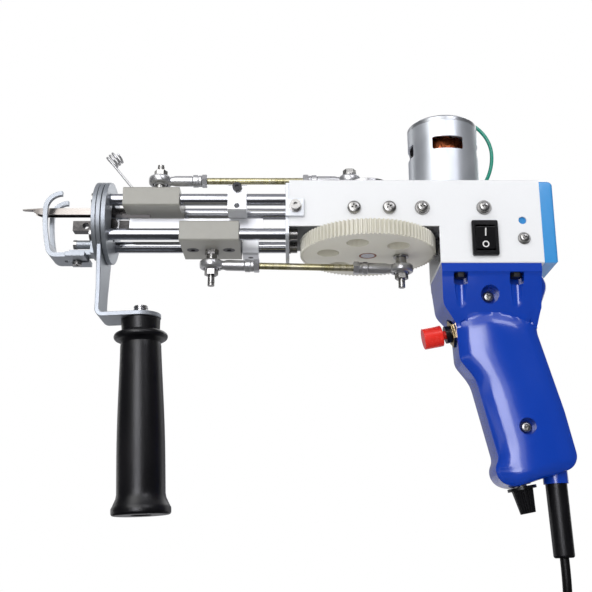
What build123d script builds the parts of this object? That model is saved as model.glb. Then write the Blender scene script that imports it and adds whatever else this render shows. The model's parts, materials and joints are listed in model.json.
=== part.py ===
from build123d import *
import os
from math import cos, pi, radians, sin, sqrt, tan

# Handheld tufting machine, in millimetres.  A motor turns a big gear, and the cranks above and below the
# gear push a needle carriage and a scissors carriage along four guide rods.
# +X points from the nose to the rear grip, +Z points up and -Y is the side with the power switch.
# The origin is the middle of the rear grip, where a hand holds the machine.

# Datum of the machine
gear_x = -82.0  # the gear's axis
deck_z = 114.0  # the flat top of the housing
nose_drop = 18.95  # from the housing's top down to the nose's centre line

# Fits
overrun = 1.0  # how far a cut runs past the wall that it opens
thread_gap = 0.05  # around a screw in its hole, or a shaft in its bore
slide_gap = 0.03  # around a guide rod in its bore
part_gap = 0.3  # between pieces that pass each other
press_gap = 0.1  # between a moving face and the washer beside it

# Housing, a square tube whose front part has no floor
housing_width = 45.0
housing_height = 50.8
housing_wall = 1.2
housing_front = 46.5
housing_rear = 98.2
housing_corner = 1.0
notch_rear = 39.5
cheek_height = 28.5
wire_hole_r = 1.6

# Rear cover, a cap with a skirt inside the tube
cover_thick = 8.0
cover_wall = 2.0
cover_round = 1.8
cover_top_round = 3.0
cover_top_gap = 0.8
skirt_length = 15.0
skirt_lift = 5.6
skirt_gap = 0.15
cover_screw_x = 87.5
cover_screw_drop = 36.2
cover_hole_x = 87.3
cover_hole_drop = 25.2
cover_hole_r = 2.3

# Screws
m4_r = 2.0
m4_head_r = 3.9
m4_head_height = 2.4
m4_washer_height = 0.8
m4_socket_head_r = 3.5
m4_socket_head_height = 4.0
m4_nut_flats = 7.0
m4_nut_height = 3.2
m3_r = 1.5
m3_head_r = 2.75
m3_head_height = 2.0
m3_washer_r = 3.6
m3_washer_height = 0.6
recess_share = 0.55
recess_width_share = 0.16
socket_share = 0.45
side_screw_length = 6.5
side_screw_drop = 17.5
mount_head_r = 3.2
mount_washer_r = 4.3
cover_screw_length = 6.0

# Front plate and the two ears that hold it to the housing
plate_thick = 2.0
plate_top_gap = 2.0
plate_side_drop = 34.6
plate_bottom_drop = 42.6
plate_tip_half = 5.0
plate_corner = 4.0
ear_length = 10.6
ear_top_drop = 12.4
ear_bottom_drop = 23.1
ear_screw_x = 42.8
ear_screw_drop = 17.4
ear_screw_head_r = 2.9
ear_screw_head_height = 3.2
ear_screw_length = 7.0

# Guide rods
rod_r = 3.5
rod_pitch_y = 23.2
rod_pitch_z = 21.6
rod_thread_depth = 12.0
rod_screw_length = 10.0

# Nose: a rear disc with a hub, the turning ring of the side handle and a front disc
nose_r = 24.5
nose_hub_r = 20.0
rear_disc_thick = 2.7
front_disc_thick = 2.5
front_disc_front = 160.1
ring_thick = 2.5
ring_front_gap = 0.2
ring_rear_gap = 0.4
mouth_half = 6.5
mouth_above = 11.9
mouth_below = 9.9
mouth_corner = 2.0

# Side handle: a bent arm below the ring, a stud and a moulded grip
arm_top_half = 17.0
arm_half = 11.7
arm_neck_drop = 33.0
arm_taper_drop = 62.0
arm_bend_r = 2.0
handle_lean = 2.74
stud_x = 132.7
foot_top_drop = 75.5
stud_r = 4.0
stud_above = 5.2
stud_below = 50.0
grip_neck_r = 11.3
grip_neck_length = 8.0
grip_collar_r = 15.5
grip_collar_length = 7.0
grip_waist_r = 11.7
grip_waist_at = 24.0
grip_belly_r = 13.5
grip_belly_at = 76.0
grip_lip_r = 16.5
grip_lip_length = 4.5
grip_flare_at = 100.0
side_grip_length = 111.0
grip_edge = 1.0

# Presser foot, bent from strip, and the post that holds it
strip_thick = 2.7
strip_half = 9.15
slot_half = 6.4
slot_bottom_drop = 33.0
foot_sole_drop = 41.3
foot_rear = 165.3
foot_sole_length = 17.6
foot_toe_r = 4.5
foot_toe_turn = 75.0
foot_shin_r = 99.0
foot_shin_turn = 15.0
foot_hook_r = 9.5
foot_hook_turn = 90.0
foot_tail_half = 11.0
foot_tail_length = 11.5
foot_screw_x = 171.8
foot_slot_half = 7.4
tongue_half = 4.0
tongue_thick = 3.0
tongue_front = 176.0
flange_half = 7.5
flange_thick = 3.0
flange_top_drop = 31.5
spacer_r = 2.6
spacer_y = -3.4
spacer_drop = 33.4
spacer_front = 171.6

# Cutter guide beside the nose's mouth
guide_front = 173.6
guide_y_near = -9.1
guide_y_far = -2.9
guide_top_drop = 20.5
guide_bottom_drop = 26.6
guide_hole_x = 166.0
guide_hole_r = 1.9

# Stop blocks on the guide rods
stop_half_y = 6.4
upper_stop_front = 82.3
upper_stop_rear = 71.4
upper_stop_top_drop = 1.1
upper_stop_bottom_drop = 17.5
upper_stop_screw_drop = 3.1
upper_stop_hole_drop = 14.3
upper_stop_hole_r = 1.6
lower_stop_front = 74.6
lower_stop_rear = 65.0
lower_stop_half_z = 6.6
stop_edge = 1.0
stop_screw_length = 8.0

# Gear and pinion
gear_module = 0.8
gear_teeth = 98
pinion_teeth = 20
backlash_share = 0.12
tooth_tip_share = 0.5
tooth_root_share = 1.45
tooth_depth_share = 1.25
gear_top_drop = 30.4
gear_bottom_drop = 39.1
gear_hole_r = 6.5
gear_hole_circle_r = 24.2
gear_hole_first = 72.0
gear_hole_step = 60.0
gear_hole_count = 5
gear_pocket_depth = 5.0
pinion_top_drop = 29.6
pinion_bottom_drop = 40.2
bush_r = 5.2
bush_flange_r = 8.5
main_shaft_r = 4.0

# Bearings and their block
bearing_r = 11.0
bearing_bore_r = 4.0
bearing_height = 7.0
bearing_groove_r = 7.5
bearing_groove_depth = 1.2
bearing_groove_half = 2.0
block_half_x = 16.5
block_shift = 1.05
block_screw_half = 10.15
block_top_drop = 4.0
block_bottom_drop = 27.5
block_bore_r = 7.0
block_side_gap = 0.2

# Top crank
crank_top = 4.6
crank_bottom = 1.0
crank_r = 15.0
crank_hub_r = 7.0
shaft_hole_r = 8.0
needle_crank_r = 10.0
scissors_crank_r = 19.6

# Motor
motor_r = 21.0
motor_wall = 1.2
motor_top = 43.0
motor_bottom_drop = 23.7
motor_cap_height = 3.6
motor_rim_bevel = 1.2
motor_boss_r = 8.75
motor_boss_height = 4.5
motor_shaft_r = 2.5
window_half = 9.0
window_bottom = 21.0
window_top = 29.0
window_corner = 1.2
bearing_cup_r = 6.5
bearing_cup_height = 2.4
terminal_half = 2.2
terminal_thick = 0.8
terminal_height = 6.0
terminal_at = 10.0
motor_tab_height = 4.4
brush_half = 2.5
brush_height = 6.5
magnet_thick = 3.0
magnet_bottom_drop = 14.0
magnet_top = 17.0
magnet_gap_half = 5.0
core_r = 16.0
core_bottom_drop = 11.0
core_top = 14.0
core_slots = 12
core_slot_depth = 5.0
core_slot_width = 2.2
winding_r = 14.6
winding_top = 32.0
winding_bottom_drop = 20.0
winding_round = 3.0
commutator_r = 6.0
commutator_top = 38.5
shaft_end_drop = 41.0

# Motor mount
mount_half_x = 20.6
mount_shift = 0.65
mount_screw_half = 17.75
mount_floor = 3.0
mount_post_top_drop = 11.0
mount_hole_r = 9.2
motor_screw_pitch = 29.0
motor_screw_length = 4.2

# Earth wire from the motor's cap to the housing
earth_wire_r = 1.1
earth_bow_x = 41.2
earth_bow_height = 26.0
earth_bow_r = 36.0
earth_crown_r = 23.9
earth_bow_top = 50.0
earth_bow_bottom = -30.0
earth_bend_r = 6.0
earth_step_x = 5.5
earth_step_drop = 49.0
earth_step_end_drop = 60.0
earth_hole_r = 3.5

# Power switch
bezel_x = 65.1
bezel_drop = 36.3
bezel_width = 15.0
bezel_height = 21.0
bezel_proud = 2.0
bezel_corner = 1.0
switch_width = 12.9
switch_height = 18.9
switch_depth = 14.0
switch_well_depth = 9.0
rocker_width = 10.6
rocker_gap = 0.3
rocker_half = 6.9
rocker_crown = 3.0
rocker_valley = 2.2
rocker_root_half = 4.0
rocker_root = 3.0
rocker_pivot_y = -0.2
rocker_pin_r = 1.0
rocker_edge = 0.5
rocker_tilt = 10.0
rocker_well_half = 7.7
switch_tab_half = 2.4
switch_tab_thick = 0.8
switch_tab_length = 7.0
switch_tab_pitch = 6.0

# Rear grip: its side view is a chain of corners, chosen by hand, each as shares of the grip's depth
# behind its front, of its length below the housing, and of its depth for the corner's radius
grip_front = 39.8
grip_depth = 72.8
grip_length = 123.8
grip_corner_shares = (
    (0.0, 0.0, 0.0),
    (0.0151, 0.1793, 0.1374),
    (0.1209, 0.2641, 0.1099),
    (0.1346, 0.4297, 0.1236),
    (0.2500, 0.5186, 0.3022),
    (0.3901, 0.8740, 0.1044),
    (0.3214, 0.9645, 0.1168),
    (0.5041, 1.0000, 0.1648),
    (1.0000, 0.9079, 0.1168),
    (0.9148, 0.6640, 0.8242),
    (0.7445, 0.2924, 0.2198),
    (0.7720, 0.2076, 0.1648),
    (0.8570, 0.0784, 0.1374),
    (0.7926, 0.0, 0.0),
)
grip_half = 16.0
grip_round = 7.0
grip_wall = 3.4
shoulder_half = 22.0
shoulder_rear = 96.5
shoulder_lip = 4.8
shoulder_step = 1.2
shoulder_waist_half = 14.0
shoulder_waist_drop = 86.0
front_slot_x = 50.7
rear_slot_x = 82.4
grip_slot_half = 4.0
grip_slot_top_drop = 55.8
grip_slot_drop = 62.0
grip_slot_depth = 7.8
groove_r = 3.4
groove_y = 20.0
groove_bottom_drop = 80.0
bolt_inset = 3.8
bolt_head_height = 2.8
upper_screw_x = 67.4
upper_screw_drop = 67.8
upper_recess_r = 5.2
lower_screw_x = 83.9
lower_screw_drop = 142.3
lower_recess_r = 4.7
grip_screw_seat = 11.0
grip_screw_length = 19.0
grip_head_r = 3.1
post_r = 4.6
boss_r = 6.8
boss_end = 8.0
grip_bolt_length = 9.6
m3_nut_flats = 5.5
m3_nut_height = 2.4

# Push button of the trigger
button_x = 47.6
button_drop = 86.7
button_lean = 11.0
button_nut_flats = 14.0
button_nut_half = 1.0
button_pocket_r = 8.5
bush_outer_r = 5.0
bush_front = 4.1
bush_rear = 6.5
button_neck_end = 4.0
button_body_half = 6.5
button_body_length = 10.0
button_neck_r = 2.5
button_cap_r = 6.1
button_cap_start = 6.1
button_cap_end = 17.0
button_edge = 0.4

# Speed control: a potentiometer, its board and its knob
knob_x = 81.5
knob_drop = 171.2
knob_lean = 10.7
knob_flange_r = 8.0
knob_flange_height = 1.6
knob_top_r = 6.1
knob_end_r = 4.2
knob_length = 14.4
knob_start = 2.5
knob_flutes = 10
knob_flute_r = 0.8
pot_nut_r = 5.4
pot_nut_start = 0.2
pot_nut_end = 1.5
pot_bush_r = 3.4
pot_shaft_r = 3.0
pot_seat = -4.6
pot_body_half = 7.6
pot_body_height = 7.0
board_thick = 1.6
board_x = 84.5
board_drop = 136.0
board_half_x = 9.0
board_half_z = 17.0
board_lean = 13.0
terminal_block_half = 3.0

# Mains lead: collar, sleeve, lead, coil, tie and plug
collar_r = 6.8
collar_rise = 11.0
sleeve_x = 101.1
sleeve_drop = 172.0
sleeve_lean = 2.1
sleeve_length = 39.4
sleeve_r = 5.9
sleeve_end_r = 5.7
sleeve_edge = 1.4
sleeve_root_r = 4.2
sleeve_flange = 2.0
cord_r = 2.5
# The lead's route from the sleeve to the coil, chosen by hand: (x, y, z) in the machine's frame
lead_route = (
    (20.545, 0.0, -97.385),
    (21.01, 0.0, -110.0),
    (20.8, 1.8, -123.0),
    (18.2, 6.4, -136.2),
    (12.2, 14.4, -146.0),
    (2.2, 23.6, -150.2),
    (-10.2, 30.6, -151.0),
    (-24.5, 33.6, -151.0),
    (-37.0, 33.6, -151.0),
)
run_share = 0.45
coil_x = -42.0
coil_mid_r = 27.3
coil_pitch = 5.6
coil_layers = 4
coil_layer_turns = 2.25
coil_quarters = 4
coil_sample_count = 1600
tail_straight = 20.0
tail_drop_length = 36.0
tail_y = 28.0
floor_z = -153.5
plug_length = 34.0
plug_half_width = 12.0
plug_half_height = 7.4
plug_round = 4.0
plug_neck_length = 9.0
plug_neck_r = 4.2
blade_length = 17.5
blade_half_height = 3.2
blade_half_thick = 0.75
blade_pitch = 12.7
tie_half = 4.0
tie_thick = 0.8
tie_gap = 0.25
tie_at = 20.0

# Needle carriage
slider_length = 33.0
slider_half = 18.0
slider_edge = 0.8
needle_slider_front = 143.6
needle_slider_top_drop = 2.4
needle_slider_bottom_drop = 14.0
needle_pin_x = 124.6
needle_tip = 206.6
needle_half = 2.7
needle_height = 4.1
needle_wall = 0.8
needle_shank_end = 130.0
needle_point_length = 12.0
needle_channel_end = 158.0
needle_tip_height = 0.5
needle_eye_half = 1.0
needle_eye_x = 199.0
needle_gap = 0.05
needle_tip_half = 0.6
pin_depth = 7.0
set_screw_x = 137.0
set_screw_r = 1.5

# Yarn guide, a wire with a three-turn eye
guide_wire_r = 0.7
guide_eye_r = 3.9
guide_eye_turns = 3.0
guide_eye_pitch = 2.1
guide_eye_x = 155.3
guide_eye_height = 20.5
guide_slope = 46.0
guide_foot_depth = 3.0

# Scissors carriage
scissors_slider_length = 34.6
scissors_slider_front = 110.1
scissors_slider_top_drop = 23.4
scissors_slider_bottom_drop = 35.6
scissors_pin_x = 92.4
bar_front = 141.7
bar_rear = 62.2
bar_half = 2.4
bar_top_drop = 16.4
bar_front_screw_x = 103.6
bar_rear_screw_x = 82.2
bar_screw_length = 14.0
blade_thick = 1.2
blade_gap = 0.2
blade_pivot_x = 152.0
blade_pivot_drop = 19.6
blade_pivot_r = 1.5
blade_head = 1.0
blade_eye_r = 3.2
blade_reach = 16.0
blade_root_half = 2.9
blade_tip_half = 0.6
blade_tail = 4.0
blade_shank_end = 131.0

# Connecting rods with a rod end at each end
link_r = 2.0
needle_link_height = 8.6
scissors_link_front_drop = 44.8
scissors_link_rear_drop = 47.3
eye_r = 7.0
eye_seat_r = 4.7
eye_half = 2.4
ball_r = 4.6
ball_half = 3.1
barrel_r = 3.2
barrel_end = 25.0
barrel_bore_depth = 12.0
collar_flats = 7.6
collar_length = 5.0
lock_nut_gap = 0.1
pin_spacer_r = 3.2
needle_pin_tip = 3.7
scissors_pin_tip = 6.5
nut_seat_gap = 0.1
crank_head_height = 2.9
crank_washer_r = 4.5
crank_washer = 1.0
scissors_crank_tip = 11.6

# Places worked out from the sizes above
nose_z = deck_z - nose_drop
base_z = deck_z - housing_height
housing_x0 = gear_x - housing_front
housing_x1 = gear_x + housing_rear
notch_x = gear_x + notch_rear
inner_half = housing_width / 2 - housing_wall
plate_x = housing_x0 - plate_thick
front_disc_x0 = gear_x - front_disc_front
front_disc_x1 = front_disc_x0 + front_disc_thick
ring_x0 = front_disc_x1 + ring_front_gap
ring_x1 = ring_x0 + ring_thick
rear_disc_x0 = ring_x1 + ring_rear_gap
rear_disc_x1 = rear_disc_x0 + rear_disc_thick
gear_pitch_r = gear_module * gear_teeth / 2
pinion_pitch_r = gear_module * pinion_teeth / 2
motor_x = gear_x + gear_pitch_r + pinion_pitch_r
motor_top_z = deck_z + motor_top
motor_bottom_z = deck_z - motor_bottom_drop
cap_z = motor_top_z - motor_cap_height
mount_x = motor_x + mount_shift
block_x = gear_x + block_shift
crank_top_z = deck_z + crank_top
gear_bottom_z = deck_z - gear_bottom_drop
gear_top_z = deck_z - gear_top_drop
upper_rod_z = nose_z + rod_pitch_z / 2
lower_rod_z = nose_z - rod_pitch_z / 2
wire_x = gear_x + earth_bow_x + earth_bow_r * cos(radians(earth_bow_bottom))
wire_down_x = wire_x - earth_bend_r * (1 - cos(radians(-earth_bow_bottom)))


def slab(x, y, z, mode=Mode.ADD):
    """A block between two corners; each argument is a (low, high) pair."""
    with Locations(((x[0] + x[1]) / 2, (y[0] + y[1]) / 2, (z[0] + z[1]) / 2)):
        return Box(x[1] - x[0], y[1] - y[0], z[1] - z[0], mode=mode)


def rod(plane, radius, length, mode=Mode.ADD):
    """A round bar that stands on a plane."""
    with BuildSketch(plane) as end:
        Circle(radius)
    extrude(end.sketch, amount=length, mode=mode)


def tube(plane, outer_r, inner_r, length):
    """A ring or sleeve that stands on a plane."""
    with BuildSketch(plane) as end:
        Circle(outer_r)
        Circle(inner_r, mode=Mode.SUBTRACT)
    extrude(end.sketch, amount=length)


def hex_bar(plane, flats, height):
    """A hexagonal bar or screw head that stands on a plane."""
    with BuildSketch(plane) as end:
        RegularPolygon(flats / 2, 6, major_radius=False)
    extrude(end.sketch, amount=height)


def hex_nut(plane, flats, bore_r, height):
    """A nut that stands on a plane."""
    with BuildSketch(plane) as end:
        RegularPolygon(flats / 2, 6, major_radius=False)
        Circle(bore_r, mode=Mode.SUBTRACT)
    extrude(end.sketch, amount=height)


def along_x(x, y, z, way=1):
    """A plane that faces along the guide rods."""
    return Plane(origin=(x, y, z), x_dir=(0, way, 0), z_dir=(way, 0, 0))


def along_y(x, y, z, way=1):
    """A plane that faces sideways."""
    return Plane(origin=(x, y, z), x_dir=(-way, 0, 0), z_dir=(0, way, 0))


def along_z(x, y, z, way=1):
    """A plane that faces up or down."""
    return Plane(origin=(x, y, z), x_dir=(1, 0, 0), z_dir=(0, 0, way))


def pan_screw(plane, head_r, head_height, shank_r, length, seat=0):
    """A cross-recessed screw whose head lies seat above the plane and whose shank goes below it."""
    top = plane.offset(seat)
    rod(top, head_r, head_height)
    rod(top, shank_r, -length - seat)
    with BuildSketch(top.offset(head_height)) as recess:
        Rectangle(2 * head_r * recess_share, 2 * head_r * recess_width_share)
        Rectangle(2 * head_r * recess_width_share, 2 * head_r * recess_share)
    extrude(recess.sketch, amount=-head_height / 2, mode=Mode.SUBTRACT)


def socket_screw(plane, head_r, head_height, shank_r, length, seat=0):
    """A socket-head screw whose head lies seat above the plane."""
    top = plane.offset(seat)
    rod(top, head_r, head_height)
    rod(top, shank_r, -length - seat)
    with BuildSketch(top.offset(head_height)) as recess:
        RegularPolygon(head_r * socket_share, 6)
    extrude(recess.sketch, amount=-head_height / 2, mode=Mode.SUBTRACT)


def gear_points(teeth, tip_r, root_r, pitch_r, first_angle):
    """The outline of a straight-toothed wheel whose first tooth points at first_angle, in degrees."""
    step = 2 * pi / teeth
    half_pitch = step / 4 * (1 - backlash_share)
    half_tip = half_pitch * tooth_tip_share
    half_root = half_pitch * tooth_root_share
    points = []
    for tooth in range(teeth):
        middle = radians(first_angle) + tooth * step
        for radius, offset in ((root_r, -half_root), (pitch_r, -half_pitch), (tip_r, -half_tip),
                               (tip_r, half_tip), (pitch_r, half_pitch), (root_r, half_root)):
            points.append((radius * cos(middle + offset), radius * sin(middle + offset)))
    return points


def toothed_wheel(plane, teeth, first_angle, height):
    """A gear blank with its teeth."""
    pitch_r = gear_module * teeth / 2
    tip_r = pitch_r + gear_module
    root_r = pitch_r - gear_module * tooth_depth_share
    with BuildSketch(plane) as wheel:
        with BuildLine():
            Polyline(*gear_points(teeth, tip_r, root_r, pitch_r, first_angle), close=True)
        make_face()
    extrude(wheel.sketch, amount=height)


def biarc(start, start_way, end, end_way):
    """Two tangent arcs from start to end that leave and arrive along the given unit vectors."""
    span = end - start
    both = start_way + end_way
    blend = 2 * (1 - start_way.dot(end_way))
    reach = span.dot(both)
    if blend < 1e-9:
        step = span.dot(span) / (4 * span.dot(end_way))
    else:
        step = (sqrt(reach * reach + blend * span.dot(span)) - reach) / blend
    middle = (start + start_way * step + end - end_way * step) * 0.5
    for near, way, far in ((start, start_way, middle), (middle, None, end)):
        if way is None:
            way = (end - end_way * step - middle).normalized()
        chord = far - near
        if way.cross(chord.normalized()).length < 1e-6:
            Line(near, far)
        else:
            TangentArc(near, far, tangent=way)


def rounded_route(route):
    """Straight runs through the route's points, joined by arcs as large as the runs allow."""
    points = [Vector(*point) for point in route]
    radii = []
    for before, corner, after in zip(points, points[1:], points[2:]):
        turn = radians((corner - before).get_angle(after - corner))
        run = min((corner - before).length, (after - corner).length)
        radii.append(run_share * run / tan(turn / 2))
    return points, radii


# Housing
with BuildPart() as housing:
    slab((housing_x0, housing_x1), (-housing_width / 2, housing_width / 2), (base_z, deck_z))
    fillet(housing.edges().filter_by(Axis.X), housing_corner)
    slab((housing_x0 - overrun, housing_x1 + overrun), (-inner_half, inner_half),
         (base_z + housing_wall, deck_z - housing_wall), Mode.SUBTRACT)
    slab((housing_x0 - overrun, notch_x), (-housing_width, housing_width),
         (base_z - overrun, deck_z - cheek_height), Mode.SUBTRACT)
    roof = deck_z - housing_wall - overrun
    roof_cut = housing_wall + 2 * overrun
    rod(along_z(motor_x, 0, roof), motor_r + part_gap, roof_cut, Mode.SUBTRACT)
    rod(along_z(gear_x, 0, roof), shaft_hole_r, roof_cut, Mode.SUBTRACT)
    rod(along_z(wire_down_x, 0, roof), wire_hole_r, roof_cut, Mode.SUBTRACT)
    rod(along_z(wire_down_x, 0, base_z - overrun), earth_hole_r, roof_cut, Mode.SUBTRACT)
    across = housing_width + 2 * overrun
    for x in (block_x - block_screw_half, block_x + block_screw_half,
              mount_x - mount_screw_half, mount_x + mount_screw_half):
        rod(along_y(x, -across / 2, deck_z - side_screw_drop), m4_r + thread_gap, across, Mode.SUBTRACT)
    rod(along_y(gear_x - ear_screw_x, -across / 2, deck_z - ear_screw_drop), m3_r + thread_gap, across,
        Mode.SUBTRACT)
    rod(along_y(gear_x + cover_screw_x, -across / 2, deck_z - cover_screw_drop), m3_r + thread_gap, across,
        Mode.SUBTRACT)
    rod(along_y(gear_x + cover_hole_x, -across / 2, deck_z - cover_hole_drop), cover_hole_r, across,
        Mode.SUBTRACT)
    switch_x = gear_x + bezel_x
    switch_z = deck_z - bezel_drop
    slab((switch_x - switch_width / 2 - thread_gap, switch_x + switch_width / 2 + thread_gap),
         (-housing_width, -inner_half + overrun),
         (switch_z - switch_height / 2 - thread_gap, switch_z + switch_height / 2 + thread_gap), Mode.SUBTRACT)
    for x in (front_slot_x, rear_slot_x):
        for side in (-1, 1):
            rod(along_z(gear_x + x, side * (shoulder_half - bolt_inset), base_z - overrun), m3_r + thread_gap,
                roof_cut, Mode.SUBTRACT)

# Rear cover
with BuildPart() as rear_cover:
    slab((housing_x1, housing_x1 + cover_thick), (-housing_width / 2, housing_width / 2),
         (base_z, deck_z - cover_top_gap))
    back = rear_cover.faces().sort_by(Axis.X)[-1]
    fillet(back.edges().filter_by(Axis.Y).sort_by(Axis.Z)[-1], cover_top_round)
    back = rear_cover.faces().sort_by(Axis.X)[-1]
    fillet(back.edges().filter_by(Axis.Z) + back.edges().filter_by(Axis.Y).sort_by(Axis.Z)[0:1], cover_round)
    skirt_half = inner_half - skirt_gap
    skirt_low = base_z + housing_wall + skirt_lift
    skirt_high = deck_z - housing_wall - skirt_gap
    slab((housing_x1 - skirt_length, housing_x1), (-skirt_half, skirt_half), (skirt_low, skirt_high))
    slab((housing_x1 - skirt_length - overrun, housing_x1 + cover_thick - cover_wall),
         (-skirt_half + cover_wall, skirt_half - cover_wall),
         (skirt_low + cover_wall, skirt_high - cover_wall), Mode.SUBTRACT)
    rod(along_y(gear_x + cover_screw_x, -across / 2, deck_z - cover_screw_drop), m3_r + thread_gap, across,
        Mode.SUBTRACT)

# Screws in the housing's sides, its ears, the rear cover and the motor's foot
with BuildPart() as housing_screws:
    for side in (-1, 1):
        face = side * housing_width / 2
        for x in (block_x - block_screw_half, block_x + block_screw_half):
            pan_screw(along_y(x, face, deck_z - side_screw_drop, side), m4_head_r, m4_head_height, m4_r,
                      side_screw_length)
        for x in (mount_x - mount_screw_half, mount_x + mount_screw_half):
            place = along_y(x, face, deck_z - side_screw_drop, side)
            tube(place, mount_washer_r, m4_r + thread_gap, m4_washer_height)
            pan_screw(place, mount_head_r, m4_head_height, m4_r, side_screw_length, m4_washer_height)
        place = along_y(gear_x + cover_screw_x, face, deck_z - cover_screw_drop, side)
        tube(place, m3_washer_r, m3_r + thread_gap, m3_washer_height)
        pan_screw(place, m3_head_r, m3_head_height, m3_r, cover_screw_length, m3_washer_height)
        place = along_y(gear_x - ear_screw_x, side * (housing_width / 2 + plate_thick),
                        deck_z - ear_screw_drop, side)
        tube(place, m3_washer_r, m3_r + thread_gap, m4_washer_height)
        socket_screw(place, ear_screw_head_r, ear_screw_head_height, m3_r, ear_screw_length, m4_washer_height)
        pan_screw(along_z(motor_x, side * motor_screw_pitch / 2, motor_bottom_z - mount_floor, -1),
                  m4_head_r, m4_head_height, m4_r, motor_screw_length)

# Front plate
with BuildPart() as front_plate:
    with BuildSketch(along_x(plate_x, 0, nose_z)) as plate_shape:
        with BuildLine():
            half = housing_width / 2
            Polyline((-half, nose_drop - plate_top_gap), (half, nose_drop - plate_top_gap),
                     (half, nose_drop - plate_side_drop), (plate_tip_half, nose_drop - plate_bottom_drop),
                     (-plate_tip_half, nose_drop - plate_bottom_drop), (-half, nose_drop - plate_side_drop),
                     close=True)
        make_face()
        fillet(plate_shape.vertices().sort_by(Axis.Y)[0:4], plate_corner)
    extrude(amount=plate_thick)
    for side in (-1, 1):
        outer = side * (half + plate_thick)
        slab((plate_x, plate_x + ear_length), (min(outer, side * half), max(outer, side * half)),
             (deck_z - ear_bottom_drop, deck_z - ear_top_drop))
        rod(along_y(gear_x - ear_screw_x, side * (half - overrun), deck_z - ear_screw_drop, side),
            m3_r + thread_gap, plate_thick + 2 * overrun, Mode.SUBTRACT)
    with BuildSketch(along_x(plate_x - overrun, 0, nose_z)):
        with GridLocations(rod_pitch_y, rod_pitch_z, 2, 2):
            Circle(m4_r + thread_gap)
    extrude(amount=plate_thick + 2 * overrun, mode=Mode.SUBTRACT)

# Guide rods, tapped at both ends
with BuildPart() as guide_rods:
    with BuildSketch(along_x(front_disc_x1, 0, nose_z)):
        with GridLocations(rod_pitch_y, rod_pitch_z, 2, 2):
            Circle(rod_r)
    extrude(amount=plate_x - front_disc_x1)
    for place in (along_x(front_disc_x1, 0, nose_z), along_x(plate_x, 0, nose_z, -1)):
        with BuildSketch(place):
            with GridLocations(rod_pitch_y, rod_pitch_z, 2, 2):
                Circle(m4_r + thread_gap)
        extrude(amount=rod_thread_depth, mode=Mode.SUBTRACT)

# Screws at both ends of the rods, and those of the presser foot
with BuildPart() as nose_screws:
    for y in (-rod_pitch_y / 2, rod_pitch_y / 2):
        for z in (upper_rod_z, lower_rod_z):
            pan_screw(along_x(front_disc_x0, y, z, -1), m4_head_r, m4_head_height, m4_r, rod_screw_length)
            place = along_x(housing_x0, y, z)
            tube(place, m4_head_r, m4_r + thread_gap, m4_washer_height)
            socket_screw(place, m4_socket_head_r, m4_socket_head_height, m4_r, rod_screw_length,
                         m4_washer_height)
    sole_z = deck_z - foot_sole_drop
    pan_screw(along_z(gear_x - foot_screw_x, 0, sole_z - strip_thick / 2 - part_gap, -1), m3_head_r,
              m3_head_height, m3_r, strip_thick + tongue_thick)
    pan_screw(along_x(gear_x - spacer_front, spacer_y, deck_z - spacer_drop, -1), m3_head_r, m3_head_height,
              m3_r, spacer_front - front_disc_front)

# Nose discs
with BuildPart() as rear_disc:
    rod(along_x(rear_disc_x0, 0, nose_z), nose_r, rear_disc_thick)
    rod(along_x(front_disc_x1, 0, nose_z), nose_hub_r, rear_disc_x0 - front_disc_x1)
    with BuildSketch(along_x(front_disc_x1 - overrun, 0, nose_z)):
        with GridLocations(rod_pitch_y, rod_pitch_z, 2, 2):
            Circle(rod_r + thread_gap)
        with Locations((0, (mouth_above - mouth_below) / 2)):
            RectangleRounded(2 * mouth_half, mouth_above + mouth_below, mouth_corner)
    extrude(amount=rear_disc_x1 - front_disc_x1 + 2 * overrun, mode=Mode.SUBTRACT)

with BuildPart() as front_disc:
    rod(along_x(front_disc_x0, 0, nose_z), nose_r, front_disc_thick)
    with BuildSketch(along_x(front_disc_x0 - overrun, 0, nose_z)):
        with GridLocations(rod_pitch_y, rod_pitch_z, 2, 2):
            Circle(m4_r + thread_gap)
        with Locations((0, (mouth_above - mouth_below) / 2)):
            RectangleRounded(2 * mouth_half, mouth_above + mouth_below, mouth_corner)
    extrude(amount=front_disc_thick + 2 * overrun, mode=Mode.SUBTRACT)

# Side handle.  Its axis leans a little, so the arm's foot leans with it.
lean = radians(handle_lean)
down = Vector(sin(lean), 0, -cos(lean))
stud_top = Vector(gear_x - stud_x, 0, deck_z - foot_top_drop)
foot_bottom = stud_top + down * ring_thick
foot_plane = Plane(origin=stud_top, x_dir=(cos(lean), 0, sin(lean)), z_dir=-down)
foot_mid = stud_top + down * (ring_thick / 2)
heel_x = ring_x0 + ring_thick / 2
heel = Vector(heel_x, 0, foot_mid.Z + (heel_x - foot_mid.X) * tan(lean))
bend_mid_r = arm_bend_r + ring_thick / 2
arm_bottom_z = heel.Z + 2 * bend_mid_r

with BuildPart() as handle_bracket:
    with BuildSketch(along_x(ring_x0, 0, nose_z)):
        Circle(nose_r)
        with BuildLine():
            Polyline((-arm_top_half, 0), (arm_top_half, 0),
                     (arm_top_half, nose_drop - arm_neck_drop), (arm_half, nose_drop - arm_taper_drop),
                     (arm_half, arm_bottom_z - nose_z), (-arm_half, arm_bottom_z - nose_z),
                     (-arm_half, nose_drop - arm_taper_drop), (-arm_top_half, nose_drop - arm_neck_drop),
                     close=True)
        make_face()
        Circle(nose_hub_r + part_gap, mode=Mode.SUBTRACT)
    extrude(amount=ring_thick)
    with BuildSketch(Plane.XZ):
        with BuildLine():
            FilletPolyline((heel.X, arm_bottom_z), (heel.X, heel.Z), (foot_mid.X, foot_mid.Z), radius=bend_mid_r)
        trace(line_width=ring_thick)
    extrude(amount=arm_half, both=True)
    rod(foot_plane, arm_half, -ring_thick)
    rod(foot_plane, stud_r + thread_gap, -ring_thick, Mode.SUBTRACT)

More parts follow.
